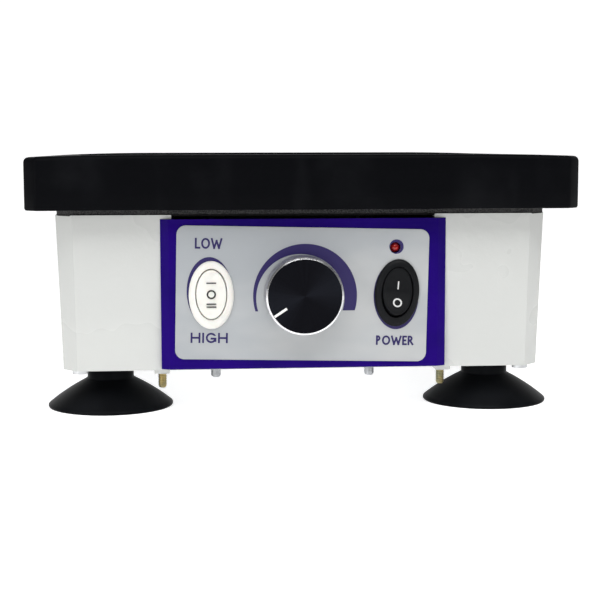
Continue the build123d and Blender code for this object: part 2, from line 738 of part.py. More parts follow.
def magnet_cleats():
    """Two angle cleats that clamp the core at its sides."""
    cleats = []
    for side in (-1, 1):
        wall = sorted((side * CORE_HALF_X, side * (CORE_HALF_X + CLEAT_SHEET)))
        foot = sorted((side * CORE_HALF_X, side * CARRIER_HALF_X))
        cleat = block(*wall, -CLEAT_HALF_Y, CLEAT_HALF_Y, CARRIER_TOP, CARRIER_TOP + CLEAT_HEIGHT)
        cleat += block(*foot, -CLEAT_HALF_Y, CLEAT_HALF_Y, CARRIER_TOP, CARRIER_TOP + CLEAT_SHEET)
        for y in (-CLEAT_SCREW_Y, CLEAT_SCREW_Y):
            cleat -= cleat_screw(side * CLEAT_SCREW_X, y)
        cleats.append(cleat)
    return group(cleats)


def cleat_screws():
    """Four screws of the cleats."""
    return group(cleat_screw(x, y) for x, y in four_corners(CLEAT_SCREW_X, CLEAT_SCREW_Y))


# --- front panel ---

def switch_window(x, z, tilt):
    """Oval hole in the panel for a switch body."""
    hole = Ellipse(SWITCH_BODY_X + SWITCH_CUT_GAP, SWITCH_BODY_Z + SWITCH_CUT_GAP)
    depth = PANEL_CUT_BACK_Y - PANEL_CUT_FRONT_Y
    return extrude(panel_plane(x, z, PANEL_CUT_BACK_Y, tilt) * hole, amount=depth)


def panel_windows():
    """All the holes through panel and overlay."""
    cut = switch_window(MODE_X, MODE_Z, 0) + switch_window(POWER_X, POWER_Z, POWER_TILT)
    cut += lengthwise(KNOB_X, KNOB_Z, PANEL_CUT_FRONT_Y, PANEL_CUT_BACK_Y, BUSHING_R)
    return cut + lengthwise(LED_X, LED_Z, PANEL_CUT_FRONT_Y, PANEL_CUT_BACK_Y, LED_R)


def front_panel():
    """Lacquered tray with rounded upright edges, which covers the casing window."""
    back = -CASING_HALF_Y + CASING_WALL / 2
    body = block(-PANEL_HALF_X, PANEL_HALF_X, PANEL_FACE_Y, back, PANEL_BOTTOM, PANEL_TOP)
    front_edges = body.edges().filter_by(Axis.Z).group_by(Axis.Y)[0]
    body = chamfer(front_edges, PANEL_EDGE_BACK, PANEL_EDGE_SIDE, reference=body.faces().sort_by(Axis.Y)[0])
    inside_x = PANEL_HALF_X - 2 * PANEL_SHEET
    inside_y = PANEL_FACE_Y + PANEL_SHEET
    body -= block(
        -inside_x, inside_x, inside_y, back + PAST, PANEL_BOTTOM + PANEL_SHEET, PANEL_TOP - PANEL_SHEET
    )
    body -= drafted_box(0, CASING_BOTTOM, CASING_TOP)
    for side in (-1, 1):
        for z in PANEL_STUD_Z:
            body += lengthwise(side * STRAP_X, z, inside_y - PANEL_SHEET / 4, POTENTIOMETER_BACK_Y, M3_R)
    return body - panel_windows()


def panel_straps():
    """Two straps inside the casing wall that the panel studs pull against."""
    straps = []
    for side in (-1, 1):
        near, far = sorted((side * (STRAP_X - STRAP_INNER), side * (STRAP_X + STRAP_OUTER)))
        low, high = PANEL_STUD_Z[0] - STRAP_END, PANEL_STUD_Z[1] + STRAP_END
        strap = block(near, far, STRAP_FRONT_Y, STRAP_FRONT_Y + STRAP_SHEET, low, high)
        for z in PANEL_STUD_Z:
            strap -= lengthwise(side * STRAP_X, z, STRAP_FRONT_Y - PAST, PANEL_CUT_BACK_Y, M3_R)
        straps.append(strap)
    return group(straps)


def panel_nuts():
    """Nuts on the panel studs."""
    nuts = []
    seat = STRAP_FRONT_Y + STRAP_SHEET
    for side in (-1, 1):
        for z in PANEL_STUD_Z:
            base = Plane(origin=(side * STRAP_X, seat, z), z_dir=(0, 1, 0))
            outline = RegularPolygon(PANEL_NUT_FLATS / 2, 6, major_radius=False)
            blank = extrude(base * outline, amount=PANEL_NUT_SHEET)
            hole = lengthwise(side * STRAP_X, z, seat - PAST, seat + PANEL_NUT_SHEET + PAST, M3_R)
            nuts.append(blank - hole)
    return group(nuts)


def panel_overlay():
    """Satin silver label plate, stuck on a little askew."""
    outline = RectangleRounded(OVERLAY_WIDTH, OVERLAY_HEIGHT, OVERLAY_CORNER_R)
    plate = extrude(
        panel_plane(OVERLAY_X, OVERLAY_Z, PANEL_FACE_Y, OVERLAY_TILT) * outline, amount=OVERLAY_SHEET
    )
    return plate - panel_windows()


def stroke(start, end, width):
    """Straight pen stroke with square ends."""
    dx, dy = end[0] - start[0], end[1] - start[1]
    middle = Pos((start[0] + end[0]) / 2, (start[1] + end[1]) / 2, 0)
    return middle * Rot(0, 0, math.degrees(math.atan2(dy, dx))) * Rectangle(math.hypot(dx, dy) + width, width)


def ring(centre, half_x, half_y, width):
    """Oval pen stroke."""
    shape = Ellipse(half_x, half_y) - Ellipse(half_x - width, half_y - width)
    return Pos(*centre) * shape


def bowl(w, low, high, pen):
    """Half-round bowl of a P or an R, from the stem to the right."""
    radius = (high - low + pen) / 2
    loop = ring((w - radius, (low + high) / 2), radius, radius, pen)
    right_half = loop & (Pos(w, (low + high) / 2) * Rectangle(2 * radius, 2 * radius))
    arms = [stroke((0, z), (w - radius, z), pen) for z in (low, high)]
    return right_half + arms[0] + arms[1]


def letter(name, w, h, pen):
    """One capital of width w and height h, drawn from its lower left corner."""
    left, right = (0, 0), (w, 0)
    stem = stroke((0, 0), (0, h), pen)
    if name == "L":
        return stem + stroke(left, right, pen)
    if name == "I":
        return stroke((w / 2, 0), (w / 2, h), pen)
    if name == "O":
        return ring((w / 2, h / 2), w / 2 + pen / 2, h / 2 + pen / 2, pen)
    if name == "H":
        return stem + stroke(right, (w, h), pen) + stroke((0, h / 2), (w, h / 2), pen)
    if name == "E":
        bars = stroke(left, right, pen) + stroke((0, h), (w, h), pen)
        return stem + bars + stroke((0, h / 2), (0.8 * w, h / 2), pen)
    if name == "P":
        return stem + bowl(w, h / 2, h, pen)
    if name == "R":
        return stem + bowl(w, h / 2, h, pen) + stroke((0.35 * w, h / 2), right, pen)
    if name == "W":
        down = stroke((0, h), (0.25 * w, 0), pen) + stroke((0.25 * w, 0), (w / 2, 0.8 * h), pen)
        return down + stroke((w / 2, 0.8 * h), (0.75 * w, 0), pen) + stroke((0.75 * w, 0), (w, h), pen)
    loop = ring((w / 2, h / 2), w / 2 + pen / 2, h / 2 + pen / 2, pen)
    loop -= Pos(w, 0.6 * h) * Rectangle(0.9 * w, 0.3 * h)
    return loop + stroke((0.55 * w, 0.42 * h), (w, 0.42 * h), pen) + stroke((w, 0.42 * h), (w, 0.15 * h), pen)


def word(text, x, z, width, height, pen):
    """Printed word centred on (x, z)."""
    spans = [LETTER_SPANS[name] for name in text]
    unit = (width - pen) / (sum(spans) + LETTER_GAP * (len(text) - 1))
    at = -(width - pen) / 2
    solids = []
    for name, span in zip(text, spans):
        shape = Pos(at, -(height - pen) / 2) * letter(name, span * unit, height - pen, pen)
        place = panel_plane(x, z, OVERLAY_FACE_Y, OVERLAY_TILT)
        solids.append(extrude(place * shape, amount=PRINT_SHEET))
        at += (span + LETTER_GAP) * unit
    return solids


def level_crescent():
    """Crescent round the knob that widens from low to high."""
    outer_x, outer_z, outer_r = CRESCENT_OUTER
    inner_x, inner_z, inner_r = CRESCENT_INNER
    below = Pos(0, CRESCENT_CUT_Z - outer_r) * Rectangle(4 * outer_r, 2 * outer_r)
    shape = Pos(outer_x, outer_z) * Circle(outer_r) - Pos(inner_x, inner_z) * Circle(inner_r) - below
    return extrude(panel_plane(0, 0, OVERLAY_FACE_Y) * shape, amount=PRINT_SHEET)


def switch_halo(x, z, tilt, half_x, half_z):
    """Printed oval under a switch bezel."""
    shape = Ellipse(half_x, half_z)
    return extrude(panel_plane(x, z, OVERLAY_FACE_Y, tilt) * shape, amount=PRINT_SHEET)


def bezel_shadow(x, z, tilt):
    """Space taken up by a switch bezel, cleared out of the print."""
    shape = (Pos(0, -BEZEL_DROP) * Ellipse(BEZEL_HALF_X, BEZEL_HALF_Z))
    return extrude(panel_plane(x, z, OVERLAY_FACE_Y + PAST, tilt) * shape, amount=4 * PAST)


def panel_print():
    """Ink of the panel: words, crescent, switch halos and the disc round the lamp."""
    ink = word("LOW", -43.5, 79.0, 12.4, 4.9, PEN)
    ink += word("HIGH", -43.6, 35.9, 16.9, 4.7, PEN)
    ink += word("POWER", 41.6, 33.7, 17.4, 4.4, PEN)
    ink.append(level_crescent())
    mode = switch_halo(MODE_X - 0.8, MODE_Z + 1.15, 0, 10.3, 15.7)
    ink.append(mode - bezel_shadow(MODE_X, MODE_Z, 0))
    power = switch_halo(POWER_X - 0.45, POWER_Z - 1.8, 0, 10.4, 15.5)
    ink.append(power - bezel_shadow(POWER_X, POWER_Z, POWER_TILT))
    disc = lengthwise(LED_PRINT_X, LED_PRINT_Z, OVERLAY_FACE_Y - PRINT_SHEET, OVERLAY_FACE_Y, LED_PRINT_R)
    ink.append(disc - lengthwise(LED_X, LED_Z, PANEL_CUT_FRONT_Y, PANEL_CUT_BACK_Y, LED_R))
    return group(ink)


# --- knob ---

def pointer_slot():
    """Straight mark from near the rim towards the middle of the knob face."""
    turn = math.radians(POINTER_ANGLE)
    radius = (POINTER_INNER_R + POINTER_OUTER_R) / 2
    place = Pos(radius * math.cos(turn), radius * math.sin(turn)) * Rot(0, 0, POINTER_ANGLE)
    mark = place * Rectangle(POINTER_OUTER_R - POINTER_INNER_R, POINTER_WIDTH)
    return extrude(panel_plane(KNOB_X, KNOB_Z, KNOB_FACE_Y + POINTER_DEPTH) * mark, amount=POINTER_DEPTH)


def knob():
    """Black anodised knob with fluted side, bright chamfer and a blind shaft bore."""
    body = lengthwise(KNOB_X, KNOB_Z, KNOB_FACE_Y, KNOB_BACK_Y, KNOB_R)
    body = chamfer(body.edges().filter_by(GeomType.CIRCLE).group_by(Axis.Y)[0], KNOB_CHAMFER)
    for index in range(KNOB_FLUTES):
        turn = 2 * math.pi * index / KNOB_FLUTES
        x = KNOB_X + (KNOB_R + FLUTE_OFFSET) * math.cos(turn)
        z = KNOB_Z + (KNOB_R + FLUTE_OFFSET) * math.sin(turn)
        body -= lengthwise(x, z, KNOB_FACE_Y + FLUTE_FRONT, KNOB_BACK_Y - FLUTE_BACK, FLUTE_R)
    body -= lengthwise(KNOB_X, KNOB_Z, SHAFT_FRONT_Y, KNOB_BACK_Y + PAST, SHAFT_R)
    body -= upright(KNOB_X, GRUB_Y, KNOB_Z, KNOB_Z + KNOB_R + PAST, M3_R)
    return body - pointer_slot()


def knob_pointer():
    """White filling of the pointer mark."""
    return pointer_slot()


def knob_grub_screw():
    """M3 screw that grips the shaft."""
    return upright(KNOB_X, GRUB_Y, KNOB_Z + SHAFT_R, KNOB_Z + SHAFT_R + GRUB_LENGTH, M3_R)


def potentiometer_shaft():
    """Steel spindle from the knob to the wiper."""
    return lengthwise(KNOB_X, KNOB_Z, SHAFT_FRONT_Y, SHAFT_BACK_Y, SHAFT_R)


def potentiometer_body():
    """Round body behind the panel and threaded bushing through it."""
    seat = PANEL_FACE_Y + PANEL_SHEET
    body = lengthwise(KNOB_X, KNOB_Z, seat, POTENTIOMETER_BACK_Y, POTENTIOMETER_R)
    body += lengthwise(KNOB_X, KNOB_Z, BUSHING_FRONT_Y, seat, BUSHING_R)
    for x in (-TAG_PITCH, 0, TAG_PITCH):
        left, right = KNOB_X + x - TAG_HALF_WIDTH, KNOB_X + x + TAG_HALF_WIDTH
        low, high = KNOB_Z - POTENTIOMETER_R - TAG_LENGTH, KNOB_Z - POTENTIOMETER_R + TAG_HALF_WIDTH
        body += block(left, right, TAG_FRONT_Y, TAG_FRONT_Y + TAG_SHEET, low, high)
    bore_back = SHAFT_BACK_Y + SHAFT_CLEARANCE
    return body - lengthwise(KNOB_X, KNOB_Z, BUSHING_FRONT_Y - PAST, bore_back, SHAFT_R + SHAFT_CLEARANCE)


# --- rocker switches ---

def switch_housing(x, z, tilt):
    """Oval bezel and body in one moulding, with an oval well and two pivot holes."""
    front = panel_plane(x, z, OVERLAY_FACE_Y, tilt)
    bezel = extrude(front * (Pos(0, -BEZEL_DROP) * Ellipse(BEZEL_HALF_X, BEZEL_HALF_Z)), amount=BEZEL_SHEET)
    bezel = chamfer(bezel.edges().group_by(Axis.Y)[0], BEZEL_CHAMFER)
    body = extrude(front * Ellipse(SWITCH_BODY_X, SWITCH_BODY_Z), amount=OVERLAY_FACE_Y - SWITCH_BACK_Y)
    well = extrude(
        panel_plane(x, z, WELL_BACK_Y, tilt) * Ellipse(WELL_HALF_X, WELL_HALF_Z),
        amount=WELL_BACK_Y - BEZEL_FACE_Y + PAST,
    )
    return bezel + body - well - pivot_pin(x, z, tilt, PIVOT_R + SHAFT_CLEARANCE, PIVOT_HOLE_HALF)


def pivot_pin(x, z, tilt, radius, half_length):
    """Rocker axle, along the switch's own cross axis."""
    turn = math.radians(tilt)
    along = Vector(math.cos(turn), 0, -math.sin(turn))
    start = Vector(x, PIVOT_Y, z) - along * half_length
    base = Plane(origin=start, z_dir=along)
    return extrude(base * Circle(radius), amount=2 * half_length)


def rocker_frame(x, z, tilt, pressed):
    """Place at the rocker pivot: switch tilt, then swing with the top pressed in."""
    return Pos(x, PIVOT_Y, z) * Rot(0, tilt, 0) * Rot(-pressed, 0, 0)


def switch_rocker(x, z, tilt, pressed):
    """Oval rocker, round about its pivot so that it swings clear, with a shallow V face."""
    reach = 2 * ROCKER_RADIUS
    upper_half = Pos(0, ROCKER_RADIUS) * Rectangle(reach, reach)
    body = revolve(Ellipse(ROCKER_HALF_X, ROCKER_RADIUS) & upper_half, axis=Axis.X)
    body -= block(-reach, reach, ROCKER_BACK, reach, -reach, reach)
    for side in (-1, 1):
        half = block(-reach, reach, -reach - PIVOT_DEPTH, -PIVOT_DEPTH, 0, reach)
        if side < 0:
            half = Rot(0, 180, 0) * half
        slope = Pos(0, -PIVOT_DEPTH, 0) * Rot(side * ROCKER_FACE_SLOPE, 0, 0) * Pos(0, PIVOT_DEPTH, 0)
        body -= slope * half
    body += Rot(0, 90, 0) * Cylinder(PIVOT_R, 2 * PIVOT_HALF)
    return rocker_frame(x, z, tilt, pressed) * body


def rocker_marks(x, z, tilt, pressed, marks):
    """Printed marks on the two sloping halves of a rocker face."""
    solids = []
    for shape, height in marks:
        side = 1 if height >= 0 else -1
        face = Plane(origin=(0, -PIVOT_DEPTH, 0), x_dir=(1, 0, 0), z_dir=(0, -1, 0))
        lean = Pos(0, -PIVOT_DEPTH, 0) * Rot(side * ROCKER_FACE_SLOPE, 0, 0) * Pos(0, PIVOT_DEPTH, 0)
        ink = extrude(face * (Pos(0, height) * shape), amount=PRINT_SHEET)
        solids.append(rocker_frame(x, z, tilt, pressed) * lean * ink)
    return group(solids)


def mode_marks():
    """One bar above, ring in the middle, two bars below."""
    bar = Rectangle(*MARK_BAR)
    circle = Circle(MARK_RING_R) - Circle(MARK_RING_BORE)
    size = 4 * MARK_RING_R
    half_up = circle & (Pos(0, size / 2) * Rectangle(size, size))
    half_down = circle & (Pos(0, -size / 2) * Rectangle(size, size))
    marks = [(bar, 5.3), (half_up, 0.0), (half_down, -0.0001), (bar, -4.4), (bar, -5.7)]
    return rocker_marks(MODE_X, MODE_Z, 0, 0, marks)


def power_marks():
    """Upright bar on the half that switches on, ring on the other."""
    circle = Circle(MARK_RING_R) - Circle(MARK_RING_BORE)
    marks = [(Rectangle(*POWER_BAR), 2.6), (circle, -5.6)]
    return rocker_marks(POWER_X, POWER_Z, POWER_TILT, ROCKER_SWING, marks)


def switch_terminals(x, z, tilt, heights):
    """Flat blades behind a switch."""
    blades = []
    base = panel_plane(x, z, SWITCH_BACK_Y, tilt)
    for height in heights:
        outline = Pos(0, height) * Rectangle(BLADE_WIDTH, BLADE_SHEET)
        blades.append(extrude(base * outline, amount=-BLADE_LENGTH))
    return group(blades)


# --- indicator ---

def indicator_lamp():
    """Red lamp lens, set a little below the panel face."""
    dome_y = OVERLAY_FACE_Y + LED_SUNK
    back = OVERLAY_FACE_Y + LED_STEM_BACK
    dome = Pos(LED_X, dome_y, LED_Z) * Sphere(LED_R)
    flange = lengthwise(LED_X, LED_Z, back - 3.5 * LED_FLANGE, back - LED_FLANGE, LED_R + LED_FLANGE)
    return dome + lengthwise(LED_X, LED_Z, dome_y, back, LED_R) + flange


def indicator_holder():
    """Clip ring that holds the lamp behind the panel."""
    back = PANEL_FACE_Y + PANEL_SHEET
    far = back + LED_HOLDER_LENGTH
    body = lengthwise(LED_X, LED_Z, back, far, LED_R + LED_HOLDER_WALL)
    return body - indicator_lamp() - lengthwise(LED_X, LED_Z, back - PAST, far + PAST, LED_R)


# --- electronics ---

def board_holes():
    """Where the board stands on its pillars."""
    return [(BOARD_X + x, y) for x, y in four_corners(BOARD_HOLE_X, BOARD_HOLE_Y)]


def control_board():
    """Circuit board of the strength control."""
    body = block(
        BOARD_X - BOARD_HALF_X, BOARD_X + BOARD_HALF_X, -BOARD_HALF_Y, BOARD_HALF_Y, BOARD_BOTTOM, BOARD_TOP
    )
    for x, y in board_holes():
        body -= upright(x, y, BOARD_BOTTOM - PAST, BOARD_TOP + PAST, M3_R)
    return body


def board_standoffs():
    """Four pillars under the board."""
    return group(upright(x, y, BASE_TOP, BOARD_BOTTOM, STANDOFF_R) for x, y in board_holes())


def board_screws():
    """Four screws through the board into the pillars."""
    screws = []
    for x, y in board_holes():
        shank = upright(x, y, BOARD_BOTTOM, BOARD_TOP, M3_R)
        screws.append(shank + upright(x, y, BOARD_TOP, BOARD_TOP + BOARD_HEAD_SHEET, BOARD_HEAD_R))
    return group(screws)


def heat_sink():
    """Finned aluminium block on the board."""
    left, right, top = BOARD_X - SINK_HALF_X, BOARD_X + SINK_HALF_X, BOARD_TOP + SINK_HEIGHT
    body = block(left, right, SINK_Y, SINK_Y + SINK_PLATE, BOARD_TOP, top)
    for index in range(SINK_FINS):
        x = left + index * SINK_FIN_PITCH
        body += block(x, x + SINK_FIN_SHEET, SINK_Y, SINK_Y + SINK_DEPTH, BOARD_TOP, top)
    return body


def triac():
    """Power switch element on the flat side of the heat sink."""
    low, high = BOARD_TOP + TRIAC_LEG, BOARD_TOP + TRIAC_HEIGHT
    body = block(BOARD_X - TRIAC_HALF_X, BOARD_X + TRIAC_HALF_X, TRIAC_FRONT_Y, SINK_Y, low, high)
    leg_y = (TRIAC_FRONT_Y + SINK_Y) / 2
    for x in (-TRIAC_PITCH, 0, TRIAC_PITCH):
        leg_x = BOARD_X + x
        body += block(leg_x - 0.5, leg_x + 0.5, leg_y - 0.5, leg_y + 0.5, BOARD_TOP, low)
    return body


def filter_capacitor():
    """Boxed film capacitor on the board."""
    left, right = BOARD_X - CAPACITOR_HALF_X, BOARD_X + CAPACITOR_HALF_X
    body = block(left, right, *CAPACITOR_Y, BOARD_TOP, BOARD_TOP + CAPACITOR_HEIGHT)
    return fillet(body.edges().filter_by(Axis.Z), CAPACITOR_EDGE_R)


def terminal_block():
    """Screw terminal strip on the base for the mains leads."""
    left, right = TERMINAL_X - TERMINAL_HALF_X, TERMINAL_X + TERMINAL_HALF_X
    near, far = TERMINAL_Y - TERMINAL_HALF_Y, TERMINAL_Y + TERMINAL_HALF_Y
    top = BASE_TOP + TERMINAL_HEIGHT
    body = block(left, right, near, far, BASE_TOP, top)
    for index in range(TERMINAL_POLES):
        pole_y = near + TERMINAL_FIRST + index * TERMINAL_PITCH
        for x in (TERMINAL_X - TERMINAL_FIRST, TERMINAL_X + TERMINAL_FIRST):
            body -= upright(x, pole_y, BASE_TOP + TERMINAL_WELL_FLOOR, top + PAST, M4_R)
    return body


# --- rear fittings ---

def rear_wall_y(z):
    """Outside face of the rear wall at height z."""
    return CASING_HALF_Y + (z - CASING_BOTTOM) * CASING_SPREAD / (CASING_TOP - CASING_BOTTOM)


def rear_hexagon(x, z, y0, y1, across_flats):
    """Hexagonal blank along Y on the rear wall."""
    base = Plane(origin=(x, y0, z), z_dir=(0, 1, 0))
    return extrude(base * RegularPolygon(across_flats / 2, 6, major_radius=False), amount=y1 - y0)


def cable_gland():
    """Threaded gland body through the rear wall, bored for the mains lead."""
    wall = rear_wall_y(GLAND_Z) + REAR_GAP
    body = lengthwise(GLAND_X, GLAND_Z, GLAND_FRONT_Y, REAR_END_Y - GLAND_DOME_SKIN, GLAND_THREAD_R)
    body += rear_hexagon(GLAND_X, GLAND_Z, wall, wall + GLAND_HEX_SHEET, GLAND_HEX_FLATS)
    return body - lengthwise(GLAND_X, GLAND_Z, GLAND_FRONT_Y - PAST, REAR_END_Y, GLAND_BORE_R)


def gland_dome_nut():
    """Domed clamping nut on the outside of the gland."""
    seat = rear_wall_y(GLAND_Z) + REAR_GAP + GLAND_HEX_SHEET
    body = lengthwise(GLAND_X, GLAND_Z, seat, REAR_END_Y, GLAND_DOME_R)
    body = fillet(body.edges().filter_by(GeomType.CIRCLE).group_by(Axis.Y)[-1], GLAND_DOME_FILLET)
    body -= lengthwise(GLAND_X, GLAND_Z, seat - PAST, REAR_END_Y - GLAND_DOME_SKIN, GLAND_THREAD_R)
    return body - lengthwise(GLAND_X, GLAND_Z, seat, REAR_END_Y + PAST, GLAND_BORE_R + LOCKNUT_GAP)


def gland_locknut():
    """Hexagonal nut inside the rear wall."""
    wall = rear_wall_y(GLAND_Z) - CASING_WALL - LOCKNUT_GAP
    front = wall - LOCKNUT_SHEET
    body = rear_hexagon(GLAND_X, GLAND_Z, front, wall, GLAND_HEX_FLATS)
    return body - lengthwise(GLAND_X, GLAND_Z, front - PAST, wall + PAST, GLAND_THREAD_R)


def fuse_holder():
    """Tube through the rear wall that takes the fuse."""
    wall = rear_wall_y(FUSE_Z) + REAR_GAP
    body = lengthwise(FUSE_X, FUSE_Z, FUSE_BODY_FRONT_Y, wall, FUSE_BODY_R)
    body += lengthwise(FUSE_X, FUSE_Z, wall, wall + FUSE_FLANGE, FUSE_FLANGE_R)
    bore_front = FUSE_BODY_FRONT_Y + FUSE_WALL
    return body - lengthwise(FUSE_X, FUSE_Z, bore_front, wall + FUSE_FLANGE + PAST, FUSE_BORE_R)


def fuse_cap():
    """Screw cap of the fuse holder, with a coin slot."""
    seat = rear_wall_y(FUSE_Z) + REAR_GAP + FUSE_FLANGE
    end = seat + FUSE_CAP_LENGTH
    body = lengthwise(FUSE_X, FUSE_Z, seat, end, FUSE_CAP_R)
    body = chamfer(body.edges().filter_by(GeomType.CIRCLE).group_by(Axis.Y)[-1], COIN_SLOT_HALF)
    body += lengthwise(FUSE_X, FUSE_Z, seat - FUSE_CAP_PLUG, seat, FUSE_BORE_R - SHAFT_CLEARANCE * 2)
    left, right = FUSE_X - COIN_SLOT_REACH, FUSE_X + COIN_SLOT_REACH
    low, high = FUSE_Z - COIN_SLOT_HALF, FUSE_Z + COIN_SLOT_HALF
    return body - block(left, right, end - COIN_SLOT_DEPTH, end + PAST, low, high)


def fuse():
    """Glass cartridge fuse."""
    return lengthwise(FUSE_X, FUSE_Z, *FUSE_Y, FUSE_R)


def all_nodes():
    """Every separate piece by name."""
    nodes = {
        "rubber_cover": rubber_cover(),
        "platform_pan": platform_pan(),
        "platform_screws": platform_screws(),
        "spring_cups": spring_cups(),
        "armature_bracket": armature_bracket(),
        "armature_core": armature_core(),
        "armature_bolts": armature_bolts(),
        "foam_skirt": foam_skirt(),
        "casing": casing(),
        "base_plate": base_plate(),
        "base_screws": base_screws(),
        "tie_rods": tie_rods(),
        "tie_rod_nuts": tie_rod_nuts(),
        "spring_deck": spring_deck(),
        "foot_studs": foot_studs(),
        "magnet_carrier": magnet_carrier(),
        "carrier_screws": carrier_screws(),
        "magnet_core": magnet_core(),
        "coil_bobbin": coil_bobbin(),
        "coil_winding": coil_winding(),
        "magnet_cleats": magnet_cleats(),
        "cleat_screws": cleat_screws(),
        "front_panel": front_panel(),
        "panel_straps": panel_straps(),
        "panel_nuts": panel_nuts(),
        "panel_overlay": panel_overlay(),
        "panel_print": panel_print(),
        "knob": knob(),
        "knob_pointer": knob_pointer(),
        "knob_grub_screw": knob_grub_screw(),
        "potentiometer_shaft": potentiometer_shaft(),
        "potentiometer_body": potentiometer_body(),
        "mode_switch_housing": switch_housing(MODE_X, MODE_Z, 0),
        "mode_rocker": switch_rocker(MODE_X, MODE_Z, 0, 0),
        "mode_rocker_marks": mode_marks(),
        "mode_switch_terminals": switch_terminals(MODE_X, MODE_Z, 0, (-7, 0, 7)),
        "power_switch_housing": switch_housing(POWER_X, POWER_Z, POWER_TILT),
        "power_rocker": switch_rocker(POWER_X, POWER_Z, POWER_TILT, ROCKER_SWING),
        "power_rocker_marks": power_marks(),
        "power_switch_terminals": switch_terminals(POWER_X, POWER_Z, POWER_TILT, (-5, 5)),
        "indicator_lamp": indicator_lamp(),
        "indicator_holder": indicator_holder(),
        "control_board": control_board(),
        "board_standoffs": board_standoffs(),
        "board_screws": board_screws(),
        "heat_sink": heat_sink(),
        "triac": triac(),
        "filter_capacitor": filter_capacitor(),
        "terminal_block": terminal_block(),
        "cable_gland": cable_gland(),
        "gland_dome_nut": gland_dome_nut(),
        "gland_locknut": gland_locknut(),
        "fuse_holder": fuse_holder(),
        "fuse_cap": fuse_cap(),
        "fuse": fuse(),
    }
    return nodes


def corner_name(x, y):
    """Words for a corner of the table."""
    return ("front" if y < 0 else "rear") + "_" + ("left" if x < 0 else "right")


def main():
    """Build every piece and write one file for each."""
    nodes = all_nodes()
    for x, y in four_corners(ROD_X, ROD_Y):
        nodes["spring_" + corner_name(x, y)] = coil_spring(x, y)
    feet = [suction_foot(x, y) for x, y in four_corners(FOOT_X, FOOT_Y)]
    nodes["suction_feet"] = group(feet)
    os.makedirs("parts", exist_ok=True)
    for name, shape in nodes.items():
        export_step(shape, f"parts/{name}.step")


main()
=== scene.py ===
"""Looks of a bench vibrating table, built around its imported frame.

The frame is in metres, +Z up, with the control panel facing -Y.
"""
from __future__ import annotations

import json
import logging
import math
import random
from dataclasses import dataclass, field
from enum import Enum

import bmesh
import bpy
from mathutils import Matrix, Vector, noise

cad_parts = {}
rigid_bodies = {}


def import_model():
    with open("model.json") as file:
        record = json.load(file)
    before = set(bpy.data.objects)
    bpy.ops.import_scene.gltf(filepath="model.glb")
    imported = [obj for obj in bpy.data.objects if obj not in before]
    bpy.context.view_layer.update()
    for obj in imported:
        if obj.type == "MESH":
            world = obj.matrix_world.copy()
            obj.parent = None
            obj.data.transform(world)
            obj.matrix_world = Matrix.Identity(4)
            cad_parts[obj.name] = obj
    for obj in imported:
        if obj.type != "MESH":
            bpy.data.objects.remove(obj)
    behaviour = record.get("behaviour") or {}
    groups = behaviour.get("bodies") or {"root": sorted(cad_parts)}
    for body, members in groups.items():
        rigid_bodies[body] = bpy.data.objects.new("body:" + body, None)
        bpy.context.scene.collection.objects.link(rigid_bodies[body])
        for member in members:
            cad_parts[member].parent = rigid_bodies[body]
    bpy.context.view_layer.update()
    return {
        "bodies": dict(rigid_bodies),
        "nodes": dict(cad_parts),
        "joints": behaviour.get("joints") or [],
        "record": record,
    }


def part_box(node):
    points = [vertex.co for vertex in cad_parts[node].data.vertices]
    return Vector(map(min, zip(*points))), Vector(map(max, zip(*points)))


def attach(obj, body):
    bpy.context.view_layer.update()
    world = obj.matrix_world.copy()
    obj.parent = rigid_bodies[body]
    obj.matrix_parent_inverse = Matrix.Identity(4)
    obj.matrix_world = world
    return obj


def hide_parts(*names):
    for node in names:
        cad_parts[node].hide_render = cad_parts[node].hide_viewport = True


LOG = logging.getLogger("vibrating_table")
MM = 0.001
Colour = tuple[float, float, float]
Ring = list[Vector]
Shell = tuple[list[Vector], list[list[int]]]


# ---------------------------------------------------------------- shader maths

class Value:
    """A shader output; operators on it add Math nodes to its graph."""

    def __init__(self, graph: "Graph", socket: bpy.types.NodeSocket) -> None:
        """Wrap one output socket of a graph."""
        self.graph = graph
        self.socket = socket

    def math(self, operation: str, *others: "Value | float") -> "Value":
        """Add a Math node with this value first."""
        inputs = dict(enumerate((self, *others)))
        return self.graph.add("ShaderNodeMath", {"operation": operation}, inputs)

    def __add__(self, other: "Value | float") -> "Value":
        """Sum."""
        return self.math("ADD", other)

    __radd__ = __add__

    def __mul__(self, other: "Value | float") -> "Value":
        """Product."""
        return self.math("MULTIPLY", other)

    __rmul__ = __mul__

    def __sub__(self, other: "Value | float") -> "Value":
        """Difference."""
        return self.math("SUBTRACT", other)

    def __rsub__(self, other: float) -> "Value":
        """Difference from a number."""
        return self * -1.0 + other

    def power(self, exponent: float) -> "Value":
        """This value raised to a power."""
        return self.math("POWER", exponent)

    def sine(self) -> "Value":
        """Sine of this value."""
        return self.math("SINE")

    def clamped(self) -> "Value":
        """This value held between 0 and 1."""
        return self.math("MAXIMUM", 0.0).math("MINIMUM", 1.0)

    def rise(self, low: float, high: float) -> "Value":
        """0 below low, 1 above high and a smooth rise between them."""
        inputs = {"Value": self, "From Min": low, "From Max": high}
        return self.graph.add("ShaderNodeMapRange", {"interpolation_type": "SMOOTHSTEP"}, inputs)


